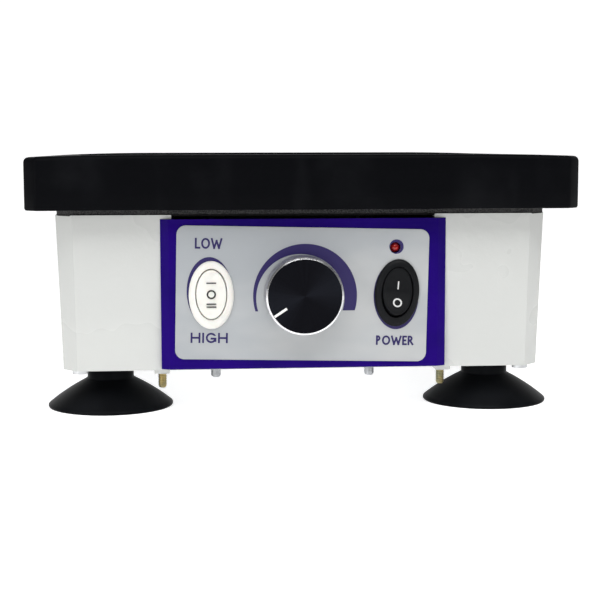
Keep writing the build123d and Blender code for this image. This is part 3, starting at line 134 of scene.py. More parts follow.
class Graph:
    """One material: a Principled shader and the nodes that feed it."""

    def __init__(self, name: str) -> None:
        """Start an empty material with its shader.

        Args:
            name: name of the new material.
        """
        self.material = bpy.data.materials.new(name)
        self.material.use_nodes = True
        self.tree = self.material.node_tree
        self.shader = self.tree.nodes["Principled BSDF"]
        self.place = self.add("ShaderNodeTexCoord", output="Object")

    def feed(self, socket: bpy.types.NodeSocket, value: object) -> None:
        """Link a Value to a socket, or set the socket's own number or colour.

        Args:
            socket: the socket to fill.
            value: a Value, number, vector or colour.
        """
        if isinstance(value, Value):
            self.tree.links.new(value.socket, socket)
        elif isinstance(value, tuple) and len(value) == 3 and socket.type == "RGBA":
            socket.default_value = (*value, 1.0)
        else:
            socket.default_value = value

    def add(
        self,
        kind: str,
        settings: dict[str, object] | None = None,
        inputs: dict[object, object] | None = None,
        output: object = 0,
    ) -> Value:
        """Add a node of any type.

        Args:
            kind: Blender's name of the node type.
            settings: attributes of the node, set before its sockets.
            inputs: socket name or number to a Value, number, vector or colour.
            output: name or number of the output to hand back.

        Returns:
            The chosen output as a Value.
        """
        node = self.tree.nodes.new(kind)
        for key, setting in (settings or {}).items():
            setattr(node, key, setting)
        for key, value in (inputs or {}).items():
            self.feed(node.inputs[key], value)
        return Value(self, node.outputs[output])

    def noise(self, scale: float, detail: float = 3.0, stretch: Colour = (1.0, 1.0, 1.0)) -> Value:
        """Cloudy noise from 0 to 1; scale is in features for each metre.

        Args:
            scale: features for each metre.
            detail: octaves of finer noise.
            stretch: scale along each axis.

        Returns:
            The noise as a Value.
        """
        where = self.add("ShaderNodeMapping", {}, {"Vector": self.place, "Scale": stretch})
        inputs = {"Vector": where, "Scale": scale, "Detail": detail}
        return self.add("ShaderNodeTexNoise", {}, inputs, "Fac")

    def cells(self, scale: float, feature: str = "F1") -> Value:
        """Distance inside random cells; scale is in cells for each metre."""
        inputs = {"Vector": self.place, "Scale": scale}
        return self.add("ShaderNodeTexVoronoi", {"feature": feature}, inputs, "Distance")

    def axis(self, name: str) -> Value:
        """One coordinate of the point, in metres."""
        return self.add("ShaderNodeSeparateXYZ", {}, {0: self.place}, name)

    def mix(self, factor: Value | float, low: object, high: object) -> Value:
        """Colour between low and high."""
        inputs = {"Factor": factor, 6: low, 7: high}
        return self.add("ShaderNodeMix", {"data_type": "RGBA"}, inputs, 2)

    def bump(self, height: Value, depth: float) -> None:
        """Raise the surface by height times depth, in metres."""
        inputs = {"Height": height, "Distance": depth}
        self.feed(self.shader.inputs["Normal"], self.add("ShaderNodeBump", {}, inputs))

    def surface(self, **sockets: object) -> None:
        """Set or link the shader's sockets; underscores in names stand for spaces."""
        for name, value in sockets.items():
            self.feed(self.shader.inputs[name.replace("_", " ")], value)


# ---------------------------------------------------------------- finishes

@dataclass(frozen=True)
class Finish:
    """Base of every finish: a name, and a graph that paint() fills."""

    name: str

    def paint(self, graph: Graph) -> None:
        """Fill the material's graph."""
        raise NotImplementedError

    def material(self) -> bpy.types.Material:
        """The material, made the first time it is asked for.

        Returns:
            The material.
        """
        known = bpy.data.materials.get(self.name)
        if known is not None:
            return known
        graph = Graph(self.name)
        self.paint(graph)
        return graph.material


@dataclass(frozen=True)
class MouldedRubber(Finish):
    """Black rubber with mould bloom, hand smudges and a little dust."""

    colour: Colour = (0.0022, 0.0024, 0.0032)
    bloom: Colour = (0.009, 0.0095, 0.011)
    gloss: float = 0.42
    dust: float = 1.0

    def paint(self, graph: Graph) -> None:
        """Fill the material's graph.

        Args:
            graph: nodes of the material.
        """
        cloud = graph.noise(26, 5).rise(0.48, 0.78)
        smear = graph.noise(60, 3, (1.0, 1.0, 0.25)).rise(0.55, 0.8)
        haze = (cloud * 0.55 + smear * 0.35).clamped()
        specks = 1.0 - graph.cells(70).rise(0.012, 0.022)
        few = graph.noise(31, 1).rise(0.60, 0.64)
        grit = specks * few * self.dust
        tint = graph.mix(haze, self.colour, self.bloom)
        tint = graph.mix(grit, tint, (0.45, 0.45, 0.43))
        grain = graph.noise(2600, 2)
        graph.surface(Base_Color=tint, Roughness=(haze * 0.16 + grain * 0.05 + self.gloss))
        graph.surface(Specular_IOR_Level=0.03)
        graph.bump(grain * 0.5 + graph.noise(420, 2) * 0.5, 0.00006)


@dataclass(frozen=True)
class GlossPaint(Finish):
    """Sprayed paint on sheet steel: orange peel, faint tone drift and a scuff low on the right."""

    colour: Colour = (0.57, 0.58, 0.56)
    drift: Colour = (0.545, 0.555, 0.54)
    gloss: float = 0.24
    peel: float = 0.00012
    coat: float = 0.25
    scuff_z: tuple[float, float] = (0.0222, 0.0245)
    scuff_left: tuple[float, float] = (0.066, 0.070)
    scuff_right: tuple[float, float] = (0.076, 0.080)

    def paint(self, graph: Graph) -> None:
        """Fill the material's graph.

        Args:
            graph: nodes of the material.
        """
        tone = graph.noise(14, 3).rise(0.35, 0.7)
        tint = graph.mix(tone * 0.6, self.colour, self.drift)
        marks = graph.noise(520, 4, (1.0, 1.0, 3.0)).rise(0.70, 0.76)
        low = 1.0 - graph.axis("Z").rise(*self.scuff_z)
        right = graph.axis("X").rise(*self.scuff_left) * (1.0 - graph.axis("X").rise(*self.scuff_right))
        scuff = marks * low * right
        tint = graph.mix(scuff, tint, (0.03, 0.03, 0.03))
        peel = graph.noise(380, 2) * 0.7 + graph.noise(90, 2) * 0.6
        graph.surface(Base_Color=tint, Roughness=tone * 0.06 + self.gloss)
        graph.surface(Coat_Weight=self.coat, Coat_Roughness=0.08)
        graph.bump(peel, self.peel)


@dataclass(frozen=True)
class Lacquer(Finish):
    """Deep indigo lacquer over bent sheet."""

    colour: Colour = (0.014, 0.001, 0.150)
    deep: Colour = (0.010, 0.001, 0.120)

    def paint(self, graph: Graph) -> None:
        """Fill the material's graph.

        Args:
            graph: nodes of the material.
        """
        tone = graph.noise(40, 3).rise(0.35, 0.7)
        graph.surface(Base_Color=graph.mix(tone, self.colour, self.deep))
        graph.surface(Roughness=graph.noise(700, 2) * 0.06 + 0.26, Specular_IOR_Level=0.04)
        graph.bump(graph.noise(450, 2) + graph.noise(120, 2), 0.00010)


@dataclass(frozen=True)
class PearlLabel(Finish):
    """Satin pearl film: flake shimmer, soft waves of tone and a few scratches."""

    colour: Colour = (0.36, 0.38, 0.40)
    light: Colour = (0.47, 0.48, 0.48)

    def paint(self, graph: Graph) -> None:
        """Fill the material's graph.

        Args:
            graph: nodes of the material.
        """
        wave = graph.noise(22, 3, (0.6, 1.0, 1.4)).rise(0.35, 0.72)
        flake = graph.noise(5200, 1)
        scratch = graph.noise(900, 2, (1.0, 1.0, 14.0)).rise(0.73, 0.78)
        tint = graph.mix(wave, self.colour, self.light)
        tint = graph.mix(scratch * 0.5, tint, (0.78, 0.78, 0.80))
        graph.surface(Base_Color=tint, Metallic=0.12)
        graph.surface(Roughness=flake * 0.14 + wave * 0.05 + 0.30)
        graph.bump(flake * 0.4 + graph.noise(60, 2), 0.00005)


@dataclass(frozen=True)
class Ink(Finish):
    """Screen-printed ink with a slightly uneven film."""

    colour: Colour = (0.009, 0.001, 0.085)
    gloss: float = 0.38

    def paint(self, graph: Graph) -> None:
        """Fill the material's graph.

        Args:
            graph: nodes of the material.
        """
        film = graph.noise(800, 3)
        pinhole = graph.noise(1500, 2).rise(0.74, 0.78)
        lighter = tuple(min(1.0, part * 1.5 + 0.02) for part in self.colour)
        graph.surface(Base_Color=graph.mix(pinhole * 0.5, self.colour, lighter))
        graph.surface(Roughness=film * 0.12 + self.gloss)
        graph.bump(film, 0.00003)


@dataclass(frozen=True)
class MouldedPlastic(Finish):
    """Injection-moulded plastic with a fine spark texture."""

    colour: Colour = (0.005, 0.0055, 0.0065)
    gloss: float = 0.30
    texture: float = 0.00003
    soft: float = 0.0

    def paint(self, graph: Graph) -> None:
        """Fill the material's graph.

        Args:
            graph: nodes of the material.
        """
        grain = graph.noise(3600, 2)
        worn = graph.noise(180, 3).rise(0.45, 0.8)
        dirt = tuple(part * 0.86 for part in self.colour)
        graph.surface(Base_Color=graph.mix(worn * 0.7, self.colour, dirt))
        graph.surface(Roughness=grain * 0.10 + worn * 0.06 + self.gloss)
        graph.surface(Subsurface_Weight=self.soft, Subsurface_Scale=0.002, Specular_IOR_Level=0.12)
        graph.bump(grain, self.texture)


class Lay(Enum):
    """Which way a metal's marks run."""

    ALONG_X = (1.0, 30.0, 30.0)
    ALONG_Z = (30.0, 30.0, 1.0)
    NONE = (6.0, 6.0, 6.0)


@dataclass(frozen=True)
class PlatedMetal(Finish):
    """Metal with drawn or rolled marks, patchy plating and dull spots."""

    colour: Colour = (0.62, 0.63, 0.64)
    patch: Colour = (0.48, 0.49, 0.50)
    gloss: float = 0.26
    lay: Lay = Lay.NONE

    def paint(self, graph: Graph) -> None:
        """Fill the material's graph.

        Args:
            graph: nodes of the material.
        """
        lines = graph.noise(120, 4, self.lay.value)
        blotch = graph.noise(160, 4).rise(0.42, 0.7)
        graph.surface(Base_Color=graph.mix(blotch, self.colour, self.patch), Metallic=1.0)
        graph.surface(Roughness=lines * 0.18 + blotch * 0.12 + self.gloss)
        graph.bump(lines, 0.00004)


@dataclass(frozen=True)
class TurnedFace(Finish):
    """Black anodised aluminium with the fine rings of the lathe and a painted bow-tie highlight."""

    centre: tuple[float, float] = (0.0, 0.056)
    colour: Colour = (0.004, 0.004, 0.0055)

    def paint(self, graph: Graph) -> None:
        """Fill the material's graph.

        Args:
            graph: nodes of the material.
        """
        x = graph.axis("X") - self.centre[0]
        z = graph.axis("Z") - self.centre[1]
        radius = (x * x + z * z).power(0.5)
        rings = (radius * 26000.0 + graph.noise(300, 2) * 3.0).sine() * 0.5 + 0.5
        angle = z.math("ARCTAN2", x)
        # Painted highlight: a bow-tie of lighter colour, broken by radial streaks, stands in for the turned
        # face's reflection.
        bow_tie_highlight = (angle * 2.0 + 0.9).sine() * 0.5 + 0.5
        highlight_streaks = graph.add(
            "ShaderNodeTexNoise", {"noise_dimensions": "1D"}, {"W": angle * 9.0, "Scale": 1.0}, "Fac"
        )
        painted_sheen = (bow_tie_highlight.power(3.0) * 0.75 + highlight_streaks * 0.35).clamped()
        # The lighter colour mixed in here is the painted highlight's colour, not a tone of the anodising.
        tint = graph.mix(painted_sheen, self.colour, (0.010, 0.011, 0.015))
        graph.surface(Base_Color=tint, Metallic=0.2, Roughness=rings * 0.07 + 0.27)
        graph.surface(Specular_IOR_Level=0.02, Anisotropic=0.5)
        graph.bump(rings, 0.000012)


@dataclass(frozen=True)
class Foam(Finish):
    """Closed-cell foam with torn cells."""

    colour: Colour = (0.05, 0.05, 0.05)

    def paint(self, graph: Graph) -> None:
        """Fill the material's graph.

        Args:
            graph: nodes of the material.
        """
        cell = graph.cells(1500)
        tint = graph.mix(cell.rise(0.2, 0.7), (0.012, 0.012, 0.012), self.colour)
        graph.surface(Base_Color=tint, Roughness=cell * 0.1 + 0.85)
        graph.bump(cell, 0.0004)


@dataclass(frozen=True)
class Striped(Finish):
    """Laminations or turns of wire: fine stripes across one axis."""

    along: str = "Y"
    pitch: float = 0.0005
    colour: Colour = (0.20, 0.20, 0.21)
    gap: Colour = (0.03, 0.03, 0.03)
    metallic: float = 0.8
    gloss: float = 0.42

    def paint(self, graph: Graph) -> None:
        """Fill the material's graph.

        Args:
            graph: nodes of the material.
        """
        turns = 2.0 * math.pi / self.pitch
        stripe = (graph.axis(self.along) * turns + graph.noise(90, 2) * 1.2).sine() * 0.5 + 0.5
        stain = graph.noise(120, 3).rise(0.4, 0.75)
        tint = graph.mix(stripe.rise(0.05, 0.4), self.gap, self.colour)
        tint = graph.mix(stain * 0.35, tint, tuple(part * 0.6 for part in self.colour))
        graph.surface(Base_Color=tint, Metallic=self.metallic, Roughness=stain * 0.15 + self.gloss)
        graph.bump(stripe, 0.00008)


@dataclass(frozen=True)
class CircuitBoard(Finish):
    """Green solder mask with copper tracks under it."""

    colour: Colour = (0.01, 0.10, 0.035)

    def paint(self, graph: Graph) -> None:
        """Fill the material's graph.

        Args:
            graph: nodes of the material.
        """
        tracks = graph.cells(160, "DISTANCE_TO_EDGE").rise(0.03, 0.06)
        tint = graph.mix(tracks, (0.03, 0.20, 0.07), self.colour)
        graph.surface(Base_Color=tint, Roughness=graph.noise(900, 2) * 0.1 + 0.30)
        graph.bump(1.0 - tracks, 0.00003)


@dataclass(frozen=True)
class TintedLens(Finish):
    """Clear or tinted plastic or glass with moulding swirls."""

    colour: Colour = (0.30, 0.008, 0.004)
    clear: float = 0.25
    glow: float = 0.0

    def paint(self, graph: Graph) -> None:
        """Fill the material's graph.

        Args:
            graph: nodes of the material.
        """
        swirl = graph.noise(700, 3).rise(0.3, 0.75)
        bright = tuple(min(1.0, part * 2.2 + 0.02) for part in self.colour)
        graph.surface(Base_Color=graph.mix(swirl, self.colour, bright), Roughness=swirl * 0.06 + 0.08)
        graph.surface(Transmission_Weight=self.clear, Emission_Color=bright, Emission_Strength=self.glow)
        graph.bump(swirl, 0.00003)


RUBBER = MouldedRubber("black moulded rubber")
FOOT_RUBBER = MouldedRubber("foot rubber", (0.004, 0.0045, 0.0055), (0.012, 0.013, 0.015), 0.36, 0.5)
PAINT = GlossPaint("white sprayed paint")
LACQUER = Lacquer("indigo lacquer")
LABEL = PearlLabel("satin silver film")
INDIGO_INK = Ink("indigo ink")
WHITE_INK = Ink("white fill", (0.82, 0.82, 0.80), 0.45)
BLACK_INK = Ink("black ink", (0.012, 0.012, 0.012), 0.45)
GREY_INK = Ink("grey ink", (0.62, 0.62, 0.62), 0.45)
BLACK_PLASTIC = MouldedPlastic("black moulded plastic")
SOFT_BLACK = MouldedPlastic("satin black plastic", (0.006, 0.0065, 0.0075), 0.34, 0.00005)
WHITE_PLASTIC = MouldedPlastic("cream white plastic", (0.80, 0.79, 0.745), 0.26, 0.00001, 0.08)
YELLOW_PLASTIC = MouldedPlastic("yellow plastic", (0.62, 0.42, 0.05))
SEALANT = MouldedPlastic("black sealant", (0.01, 0.01, 0.01), 0.55, 0.0002)
ZINC = PlatedMetal("bright zinc plate")
YELLOW_ZINC = PlatedMetal("yellow zinc plate", (0.50, 0.41, 0.20), (0.33, 0.33, 0.22), 0.30)
SPRING_WIRE = PlatedMetal("drawn spring wire", (0.42, 0.42, 0.43), (0.30, 0.30, 0.31), 0.30, Lay.ALONG_X)
CHAMFER_METAL = PlatedMetal("diamond cut aluminium", (0.86, 0.86, 0.87), (0.78, 0.78, 0.80), 0.14)
KNURLED_METAL = PlatedMetal("knurled aluminium", (0.58, 0.58, 0.60), (0.46, 0.46, 0.48), 0.24)
ALUMINIUM = PlatedMetal("extruded aluminium", (0.70, 0.71, 0.72), (0.60, 0.61, 0.62), 0.32, Lay.ALONG_Z)
BRASS = PlatedMetal("drawn brass", (0.66, 0.48, 0.18), (0.50, 0.36, 0.13), 0.24)
FOAM = Foam("closed cell foam")
CORE_IRON = Striped("core laminations")
WINDING = Striped("enamelled copper", "Z", 0.0009, (0.42, 0.13, 0.04), (0.05, 0.01, 0.005), 0.7, 0.28)
BOARD = CircuitBoard("solder mask")
RED_LENS = TintedLens("red lens")
FUSE_GLASS = TintedLens("fuse glass", (0.5, 0.55, 0.55), 0.8)


# ---------------------------------------------------------------- mesh helpers

def new_piece(
    name: str, points: list[Vector], faces: list[list[int]], sharp: float = 32.0
) -> bpy.types.Object:
    """Make a mesh object.

    Args:
        name: name of the piece.
        points: its vertices, in metres.
        faces: vertex numbers of each face.
        sharp: angle in degrees above which an edge stays crisp.

    Returns:
        The new object, linked to the scene.
    """
    mesh = bpy.data.meshes.new(name)
    mesh.from_pydata(points, [], faces)
    mesh.validate()
    shell = bmesh.new()
    shell.from_mesh(mesh)
    bmesh.ops.recalc_face_normals(shell, faces=shell.faces)
    shell.to_mesh(mesh)
    shell.free()
    mesh.shade_smooth()
    mesh.set_sharp_from_angle(angle=math.radians(sharp))
    piece = bpy.data.objects.new(name, mesh)
    bpy.context.scene.collection.objects.link(piece)
    return piece


def loft(
    rings: list[Ring], cap_first: bool = True, cap_last: bool = True, wrap: bool = False
) -> Shell:
    """Skin a stack of closed rings that have equal numbers of points.

    Args:
        rings: the closed outlines, in order.
        cap_first: close the first ring with one face.
        cap_last: close the last ring with one face.
        wrap: join the last ring to the first.

    Returns:
        Points and faces.
    """
    count = len(rings[0])
    points = [point for ring in rings for point in ring]
    faces: list[list[int]] = []
    for layer in range(len(rings) if wrap else len(rings) - 1):
        base = layer * count
        above = (base + count) % len(points)
        for index in range(count):
            after = (index + 1) % count
            faces.append([base + index, base + after, above + after, above + index])
    if cap_first:
        faces.append(list(reversed(range(count))))
    if cap_last:
        last = (len(rings) - 1) * count
        faces.append([last + index for index in range(count)])
    return points, faces


def joined(parts: list[Shell]) -> Shell:
    """Put several point and face lists into one.

    Args:
        parts: point and face lists, in order.

    Returns:
        All points and faces as one shell.
    """
    points: list[Vector] = []
    faces: list[list[int]] = []
    for more_points, more_faces in parts:
        start = len(points)
        points += more_points
        faces += [[start + index for index in face] for face in more_faces]
    return points, faces


def cut_corner_ring(half_x: float, half_y: float, cut: float, z: float, round_r: float = 0.0009) -> Ring:
    """Rectangle with 45 degree corners whose own corners are slightly rounded.

    Args:
        half_x: half width of the outline.
        half_y: half depth of the outline.
        cut: length taken off each side at a corner.
        z: height of the ring.
        round_r: reach of the small rounding at each cut.

    Returns:
        The points of the ring.
    """
    corners = []
    for sx, sy in ((1, -1), (1, 1), (-1, 1), (-1, -1)):
        pair = [Vector((sx * half_x, sy * (half_y - cut), z)), Vector((sx * (half_x - cut), sy * half_y, z))]
        corners += pair if sx * sy > 0 else list(reversed(pair))
    ring: Ring = []
    total = len(corners)
    reach = min(round_r, cut * 0.35)
    for index, corner in enumerate(corners):
        before = (corners[index - 1] - corner).normalized()
        after_point = corners[(index + 1) % total]
        after = (after_point - corner).normalized()
        start = corner + before * reach
        finish = corner + after * reach
        for step in range(4):
            t = step / 3
            ring.append(start * (1 - t) ** 2 + corner * 2 * t * (1 - t) + finish * t**2)
        slant = abs(after.x * after.y)
        extra = 1 if slant > 0.1 else 20
        for step in range(1, extra):
            t = step / extra
            ring.append(finish.lerp(after_point - after * reach, t))
    return ring


def lathe(profile: list[tuple[float, float]], centre: Vector, count: int = 96) -> Shell:
    """Turn (radius, height) points round the vertical line through centre.

    Args:
        profile: radius and height of each point of the outline.
        centre: point on the axis from which heights are measured.
        count: points round each ring.

    Returns:
        Points and faces of the turned shape.
    """
    rings = []
    for radius, height in profile:
        ring = []
        for index in range(count):
            turn = 2 * math.pi * index / count
            ring.append(centre + Vector((radius * math.cos(turn), radius * math.sin(turn), height)))
        rings.append(ring)
    return loft(rings)


def threaded_rod(
    x: float, y: float, low: float, high: float, radius: float, pitch: float, plain_from: float
) -> Shell:
    """Upright rod whose lower stretch carries a screw thread, with chamfered ends.

    Args:
        x: place of its axis across.
        y: depth of its axis.
        low: height of the lower end.
        high: height of the upper end.
        radius: outside radius.
        pitch: height of one turn of the thread.
        plain_from: height where the thread ends.

    Returns:
        Points and faces of the rod.
    """
    sides, steps = 28, 8
    depth = 0.6 * pitch
    end_bevel = 0.4 * MM
    levels = [low + pitch * index / steps for index in range(int((plain_from - low) / pitch * steps))]
    rings = []
    for z in [*levels, plain_from, high - end_bevel, high]:
        ring = []
        for index in range(sides):
            share = index / sides
            phase = ((z - low) / pitch - share) % 1.0
            crest = min(1.0, 1.6 * abs(2 * phase - 1))
            threaded = radius - depth * (1 - crest) if z < plain_from else radius
            end = min(1.0, 0.72 + (z - low) / (1.2 * pitch) * 0.28)
            if z >= high:
                end = 0.85
            turn = 2 * math.pi * share
            reach = threaded * end
            ring.append(Vector((x + reach * math.cos(turn), y + reach * math.sin(turn), z)))
        rings.append(ring)
    return loft(rings)


def dress(node: str, finish: Finish, frame: dict, bevel: float = 0.0) -> None:
    """Give a frame node its finish, and soften its edges where bevel is set.

    Args:
        node: name of the frame node.
        finish: what its surface is.
        bevel: width of the softened edges, or 0 for none.
    """
    piece = frame["nodes"][node]
    piece.data.materials.clear()
    piece.data.materials.append(finish.material())
    if bevel:
        weld = piece.modifiers.new("joined_faces", "WELD")
        weld.merge_threshold = 1e-6
        soft = piece.modifiers.new("soft_edges", "BEVEL")
        soft.width = bevel
        soft.segments = 3
        soft.limit_method = "ANGLE"
        soft.angle_limit = math.radians(28)
        soft.harden_normals = True
    LOG.info("%s: %s", node, finish.name)


def settle(piece: bpy.types.Object, body: str, finish: Finish, slot: str, *nodes: str) -> None:
    """Finish a built piece, say which body carries it and which nodes it stands for.

    Args:
        piece: the built object.
        body: body that carries it.
        finish: what its surface is.
        slot: not used.
        nodes: frame nodes it stands for.
    """
    piece.data.materials.append(finish.material())
    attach(piece, body)
    if nodes:
        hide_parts(*nodes)
    LOG.info("%s: %d faces on %s", piece.name, len(piece.data.polygons), body)


# ---------------------------------------------------------------- sub-assemblies

@dataclass
class Platform:
    """Rubber-covered table top and what hangs under it."""

    wall: float = 3.5 * MM
    skin: float = 3.0 * MM
    lip: float = 2.0 * MM
    lip_reach: float = 6.0 * MM
    corner: float = 5.3 * MM
    crown: float = 1.0 * MM
    flat_half: float = 75.0 * MM
    cover_half: float = 125.0 * MM
    tray_inset: float = 9.0 * MM
    tray_depth: float = 1.2 * MM
    plain: dict[str, Finish] = field(default_factory=lambda: {
        "platform_pan": ZINC,
        "platform_screws": ZINC,
        "spring_cups": BLACK_PLASTIC,
        "armature_bracket": ZINC,
        "armature_core": CORE_IRON,
        "armature_bolts": ZINC,
    })

    def droop(self, x: float) -> float:
        """How far the crowned top has fallen at x."""
        beyond = max(0.0, abs(x) - self.flat_half) / (self.cover_half - self.flat_half)
        return self.crown * beyond**2

    def build_cover(self) -> bpy.types.Object:
        """Moulded cap with rounded edges, crowned rim and shallow tray.

        Returns:
            The cover.
        """
        low, high = (Vector(corner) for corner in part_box("rubber_cover"))
        half_x, half_y = high.x, high.y
        mouth = self.wall + self.lip_reach
        tray = self.tray_inset
        inner_top = high.z - self.skin
        stack = [
            (self.wall, inner_top, 0), (self.wall, low.z + self.lip, 0), (mouth, low.z + self.lip, 0),
            (mouth, low.z, 0), (1.1 * MM, low.z, 0), (0.4 * MM, low.z + 0.15 * MM, 0),
            (0.0, low.z + 0.9 * MM, 0), (0.0, low.z + 8 * MM, 0), (0.0, high.z - 8 * MM, 0),
            (0.0, high.z - 2.3 * MM, 1), (0.15 * MM, high.z - 1.5 * MM, 1),
            (0.55 * MM, high.z - 0.75 * MM, 1), (1.2 * MM, high.z - 0.25 * MM, 1),
            (2.2 * MM, high.z, 1), (tray - 1.2 * MM, high.z, 1),
            (tray, high.z - 0.35 * MM, 1), (tray + 0.8 * MM, high.z - self.tray_depth, 1),
            (tray + 2.2 * MM, high.z - self.tray_depth - 0.25 * MM, 1),
        ]
        rings = []
        least_cut = 1.2 * MM
        shrink = 0.586  # how much shorter a corner cut is on an outline one unit inside
        for inset, z, crowned in stack:
            cut = max(least_cut, self.corner - shrink * inset)
            ring = cut_corner_ring(half_x - inset, half_y - inset, cut, z)
            rings.append([point - Vector((0, 0, crowned * self.droop(point.x))) for point in ring])
        return new_piece("rubber_cover_skin", *loft(rings), sharp=40)

    def build(self, frame: dict) -> None:
        """Build the cover and dress the rest.
        """
        settle(self.build_cover(), "platform", RUBBER, "cover_rubber", "rubber_cover")
        for node, finish in self.plain.items():
            dress(node, finish, frame)


@dataclass
class Housing:
    """White casing, its base, feet, rods and seal."""

    thread_pitch: float = 0.8 * MM
    rim_r: float = 29.5 * MM
    neck_r: float = 10.95 * MM
    neck_end: float = 12.8 * MM
    cone_pull: tuple[float, float] = (21.5 * MM, 7.9 * MM)
    seat_r: float = 26.5 * MM
    dome: float = 6.5 * MM
    rod_r: float = 2.0 * MM
    screw_r: float = 2.4 * MM
    screw_pitch: float = 0.7 * MM
    head_r: float = 3.9 * MM
    head_height: float = 2.6 * MM
    bead_seed: int = 7
    plain: dict[str, Finish] = field(default_factory=lambda: {
        "base_screws": ZINC,
        "tie_rod_nuts": YELLOW_ZINC,
        "spring_deck": ZINC,
        "foot_studs": ZINC,
        "spring_front_left": SPRING_WIRE,
        "spring_front_right": SPRING_WIRE,
        "spring_rear_left": SPRING_WIRE,
        "spring_rear_right": SPRING_WIRE,
        "foam_skirt": FOAM,
        "base_plate": ZINC,
    })

    def foot_places(self) -> list[Vector]:
        """Middles of the four feet, on the bench.

        Returns:
            The four places, at floor level.
        """
        low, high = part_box("suction_feet")
        x, y = high[0] - self.rim_r, high[1] - self.rim_r
        return [Vector((sx * x, sy * y, 0)) for sy in (-1, 1) for sx in (-1, 1)]

    def foot_profile(self, top: float) -> list[tuple[float, float]]:
        """Outline of a suction cup from the top of its neck to the inside of its dome.

        Args:
            top: height of the top of the neck.

        Returns:
            Radius and height of each point.
        """
        neck = self.neck_r
        bevel = 0.4 * MM
        outline = [(0.2 * MM, top), (neck - bevel, top), (neck, top - bevel)]
        outline.append((neck, self.neck_end + 1.1 * MM))
        outline.append((neck + 0.05 * MM, self.neck_end + 0.7 * MM))
        outline.append((neck + 0.6 * MM, self.neck_end + 0.4 * MM))
        start, end = Vector((neck + 1.2 * MM, self.neck_end)), Vector((self.rim_r - 0.25 * MM, 1.5 * MM))
        outline.append((start.x, start.y))
        bulge = Vector(self.cone_pull)
        for step in range(1, 15):
            t = step / 14
            point = start * (1 - t) ** 2 + bulge * 2 * t * (1 - t) + end * t**2
            outline.append((point.x, point.y))
        outline += [(self.rim_r, 1.1 * MM), (self.rim_r, 0.5 * MM), (self.rim_r - 0.3 * MM, 0.05 * MM)]
        outline += [(self.rim_r - 1.2 * MM, 0.0), (self.seat_r, 0.0)]
        for step in range(1, 10):
            share = step / 10
            outline.append((self.seat_r * (1 - share), self.dome * (1 - (1 - share) ** 2)))
        return outline + [(0.2 * MM, self.dome)]

    def build_feet(self) -> bpy.types.Object:
        """Four moulded suction cups.

        Returns:
            All four cups as one object.
        """
        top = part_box("suction_feet")[1][2]
        profile = self.foot_profile(top)
        cups = [lathe(profile, place) for place in self.foot_places()]
        return new_piece("suction_cups", *joined(cups), sharp=50)

    def build_rods(self) -> bpy.types.Object:
        """Tie rods with threads where they show below the casing.

        Returns:
            All four rods as one object.
        """
        low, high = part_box("tie_rods")
        radius = self.rod_r
        x, y = high[0] - radius, high[1] - radius
        rods = [
            threaded_rod(sx * x, sy * y, low[2], high[2], radius, self.thread_pitch, low[2] + 10 * MM)
            for sy in (-1, 1)
            for sx in (-1, 1)
        ]
        return new_piece("threaded_tie_rods", *joined(rods), sharp=70)

    def build_screws(self) -> bpy.types.Object:
        """Carrier screws with threaded tips and domed heads.

        Returns:
            All four screws as one object.
        """
        low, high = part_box("carrier_screws")
        head_r, height = self.head_r, self.head_height
        seat = high[2] - height
        thread_end = low[2] + 6.5 * MM
        parts = []
        for x in (low[0] + head_r, high[0] - head_r):
            for y in (low[1] + head_r, high[1] - head_r):
                parts.append(threaded_rod(x, y, low[2], seat, self.screw_r, self.screw_pitch, thread_end))
                head = [(0.1 * MM, 0), (head_r, 0), (head_r, 1.2 * MM), (head_r * 0.8, 2.2 * MM)]
                head += [(head_r * 0.4, height), (0.1 * MM, height)]
                parts.append(lathe(head, Vector((x, y, seat)), 32))
        return new_piece("threaded_carrier_screws", *joined(parts), sharp=70)

    def build_bead(self) -> bpy.types.Object:
        """Uneven bead of sealant where the foam meets the casing rim.

        Returns:
            The bead.
        """
        low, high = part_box("casing")
        foam_low, foam_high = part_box("foam_skirt")
        draw = random.Random(self.bead_seed)
        outer = cut_corner_ring(foam_high[0] + 0.15 * MM, foam_high[1] + 0.15 * MM, 6.1 * MM, high[2])
        fine: Ring = []
        for index, point in enumerate(outer):
            after = outer[(index + 1) % len(outer)]
            pieces = max(1, int((after - point).length / (1.1 * MM)))
            fine += [point.lerp(after, step / pieces) for step in range(pieces)]
        base, crest, inner = [], [], []
        for point in fine:
            outward = Vector((point.x, point.y, 0)).normalized()
            wave = noise.noise(point * 90) * 0.5 + 0.5
            spread = (0.05 + 0.35 * wave * draw.random() ** 2) * MM
            rise = (0.15 + 0.6 * wave * draw.random()) * MM
            base.append(point + outward * spread + Vector((0, 0, 0.02 * MM)))
            crest.append(point + outward * spread * 0.6 + Vector((0, 0, rise * 0.7)))
            inner.append(point - outward * 0.4 * MM + Vector((0, 0, rise)))
        hidden = [point - point.normalized() * 1.2 * MM for point in fine]
        points, faces = loft([base, crest, inner, hidden], False, False, True)
        return new_piece("seal_bead", points, faces, sharp=70)

    def build(self, frame: dict) -> None:
        """Build the turned and threaded pieces and dress the rest.
        """
        settle(self.build_feet(), "base", FOOT_RUBBER, "foot_rubber", "suction_feet")
        settle(self.build_rods(), "base", YELLOW_ZINC, "yellow_zinc", "tie_rods")
        settle(self.build_screws(), "base", ZINC, "zinc_steel", "carrier_screws")
        settle(self.build_bead(), "base", SEALANT, "foam")
        dress("casing", PAINT, frame, 0.5 * MM)
        for node, finish in self.plain.items():
            dress(node, finish, frame)


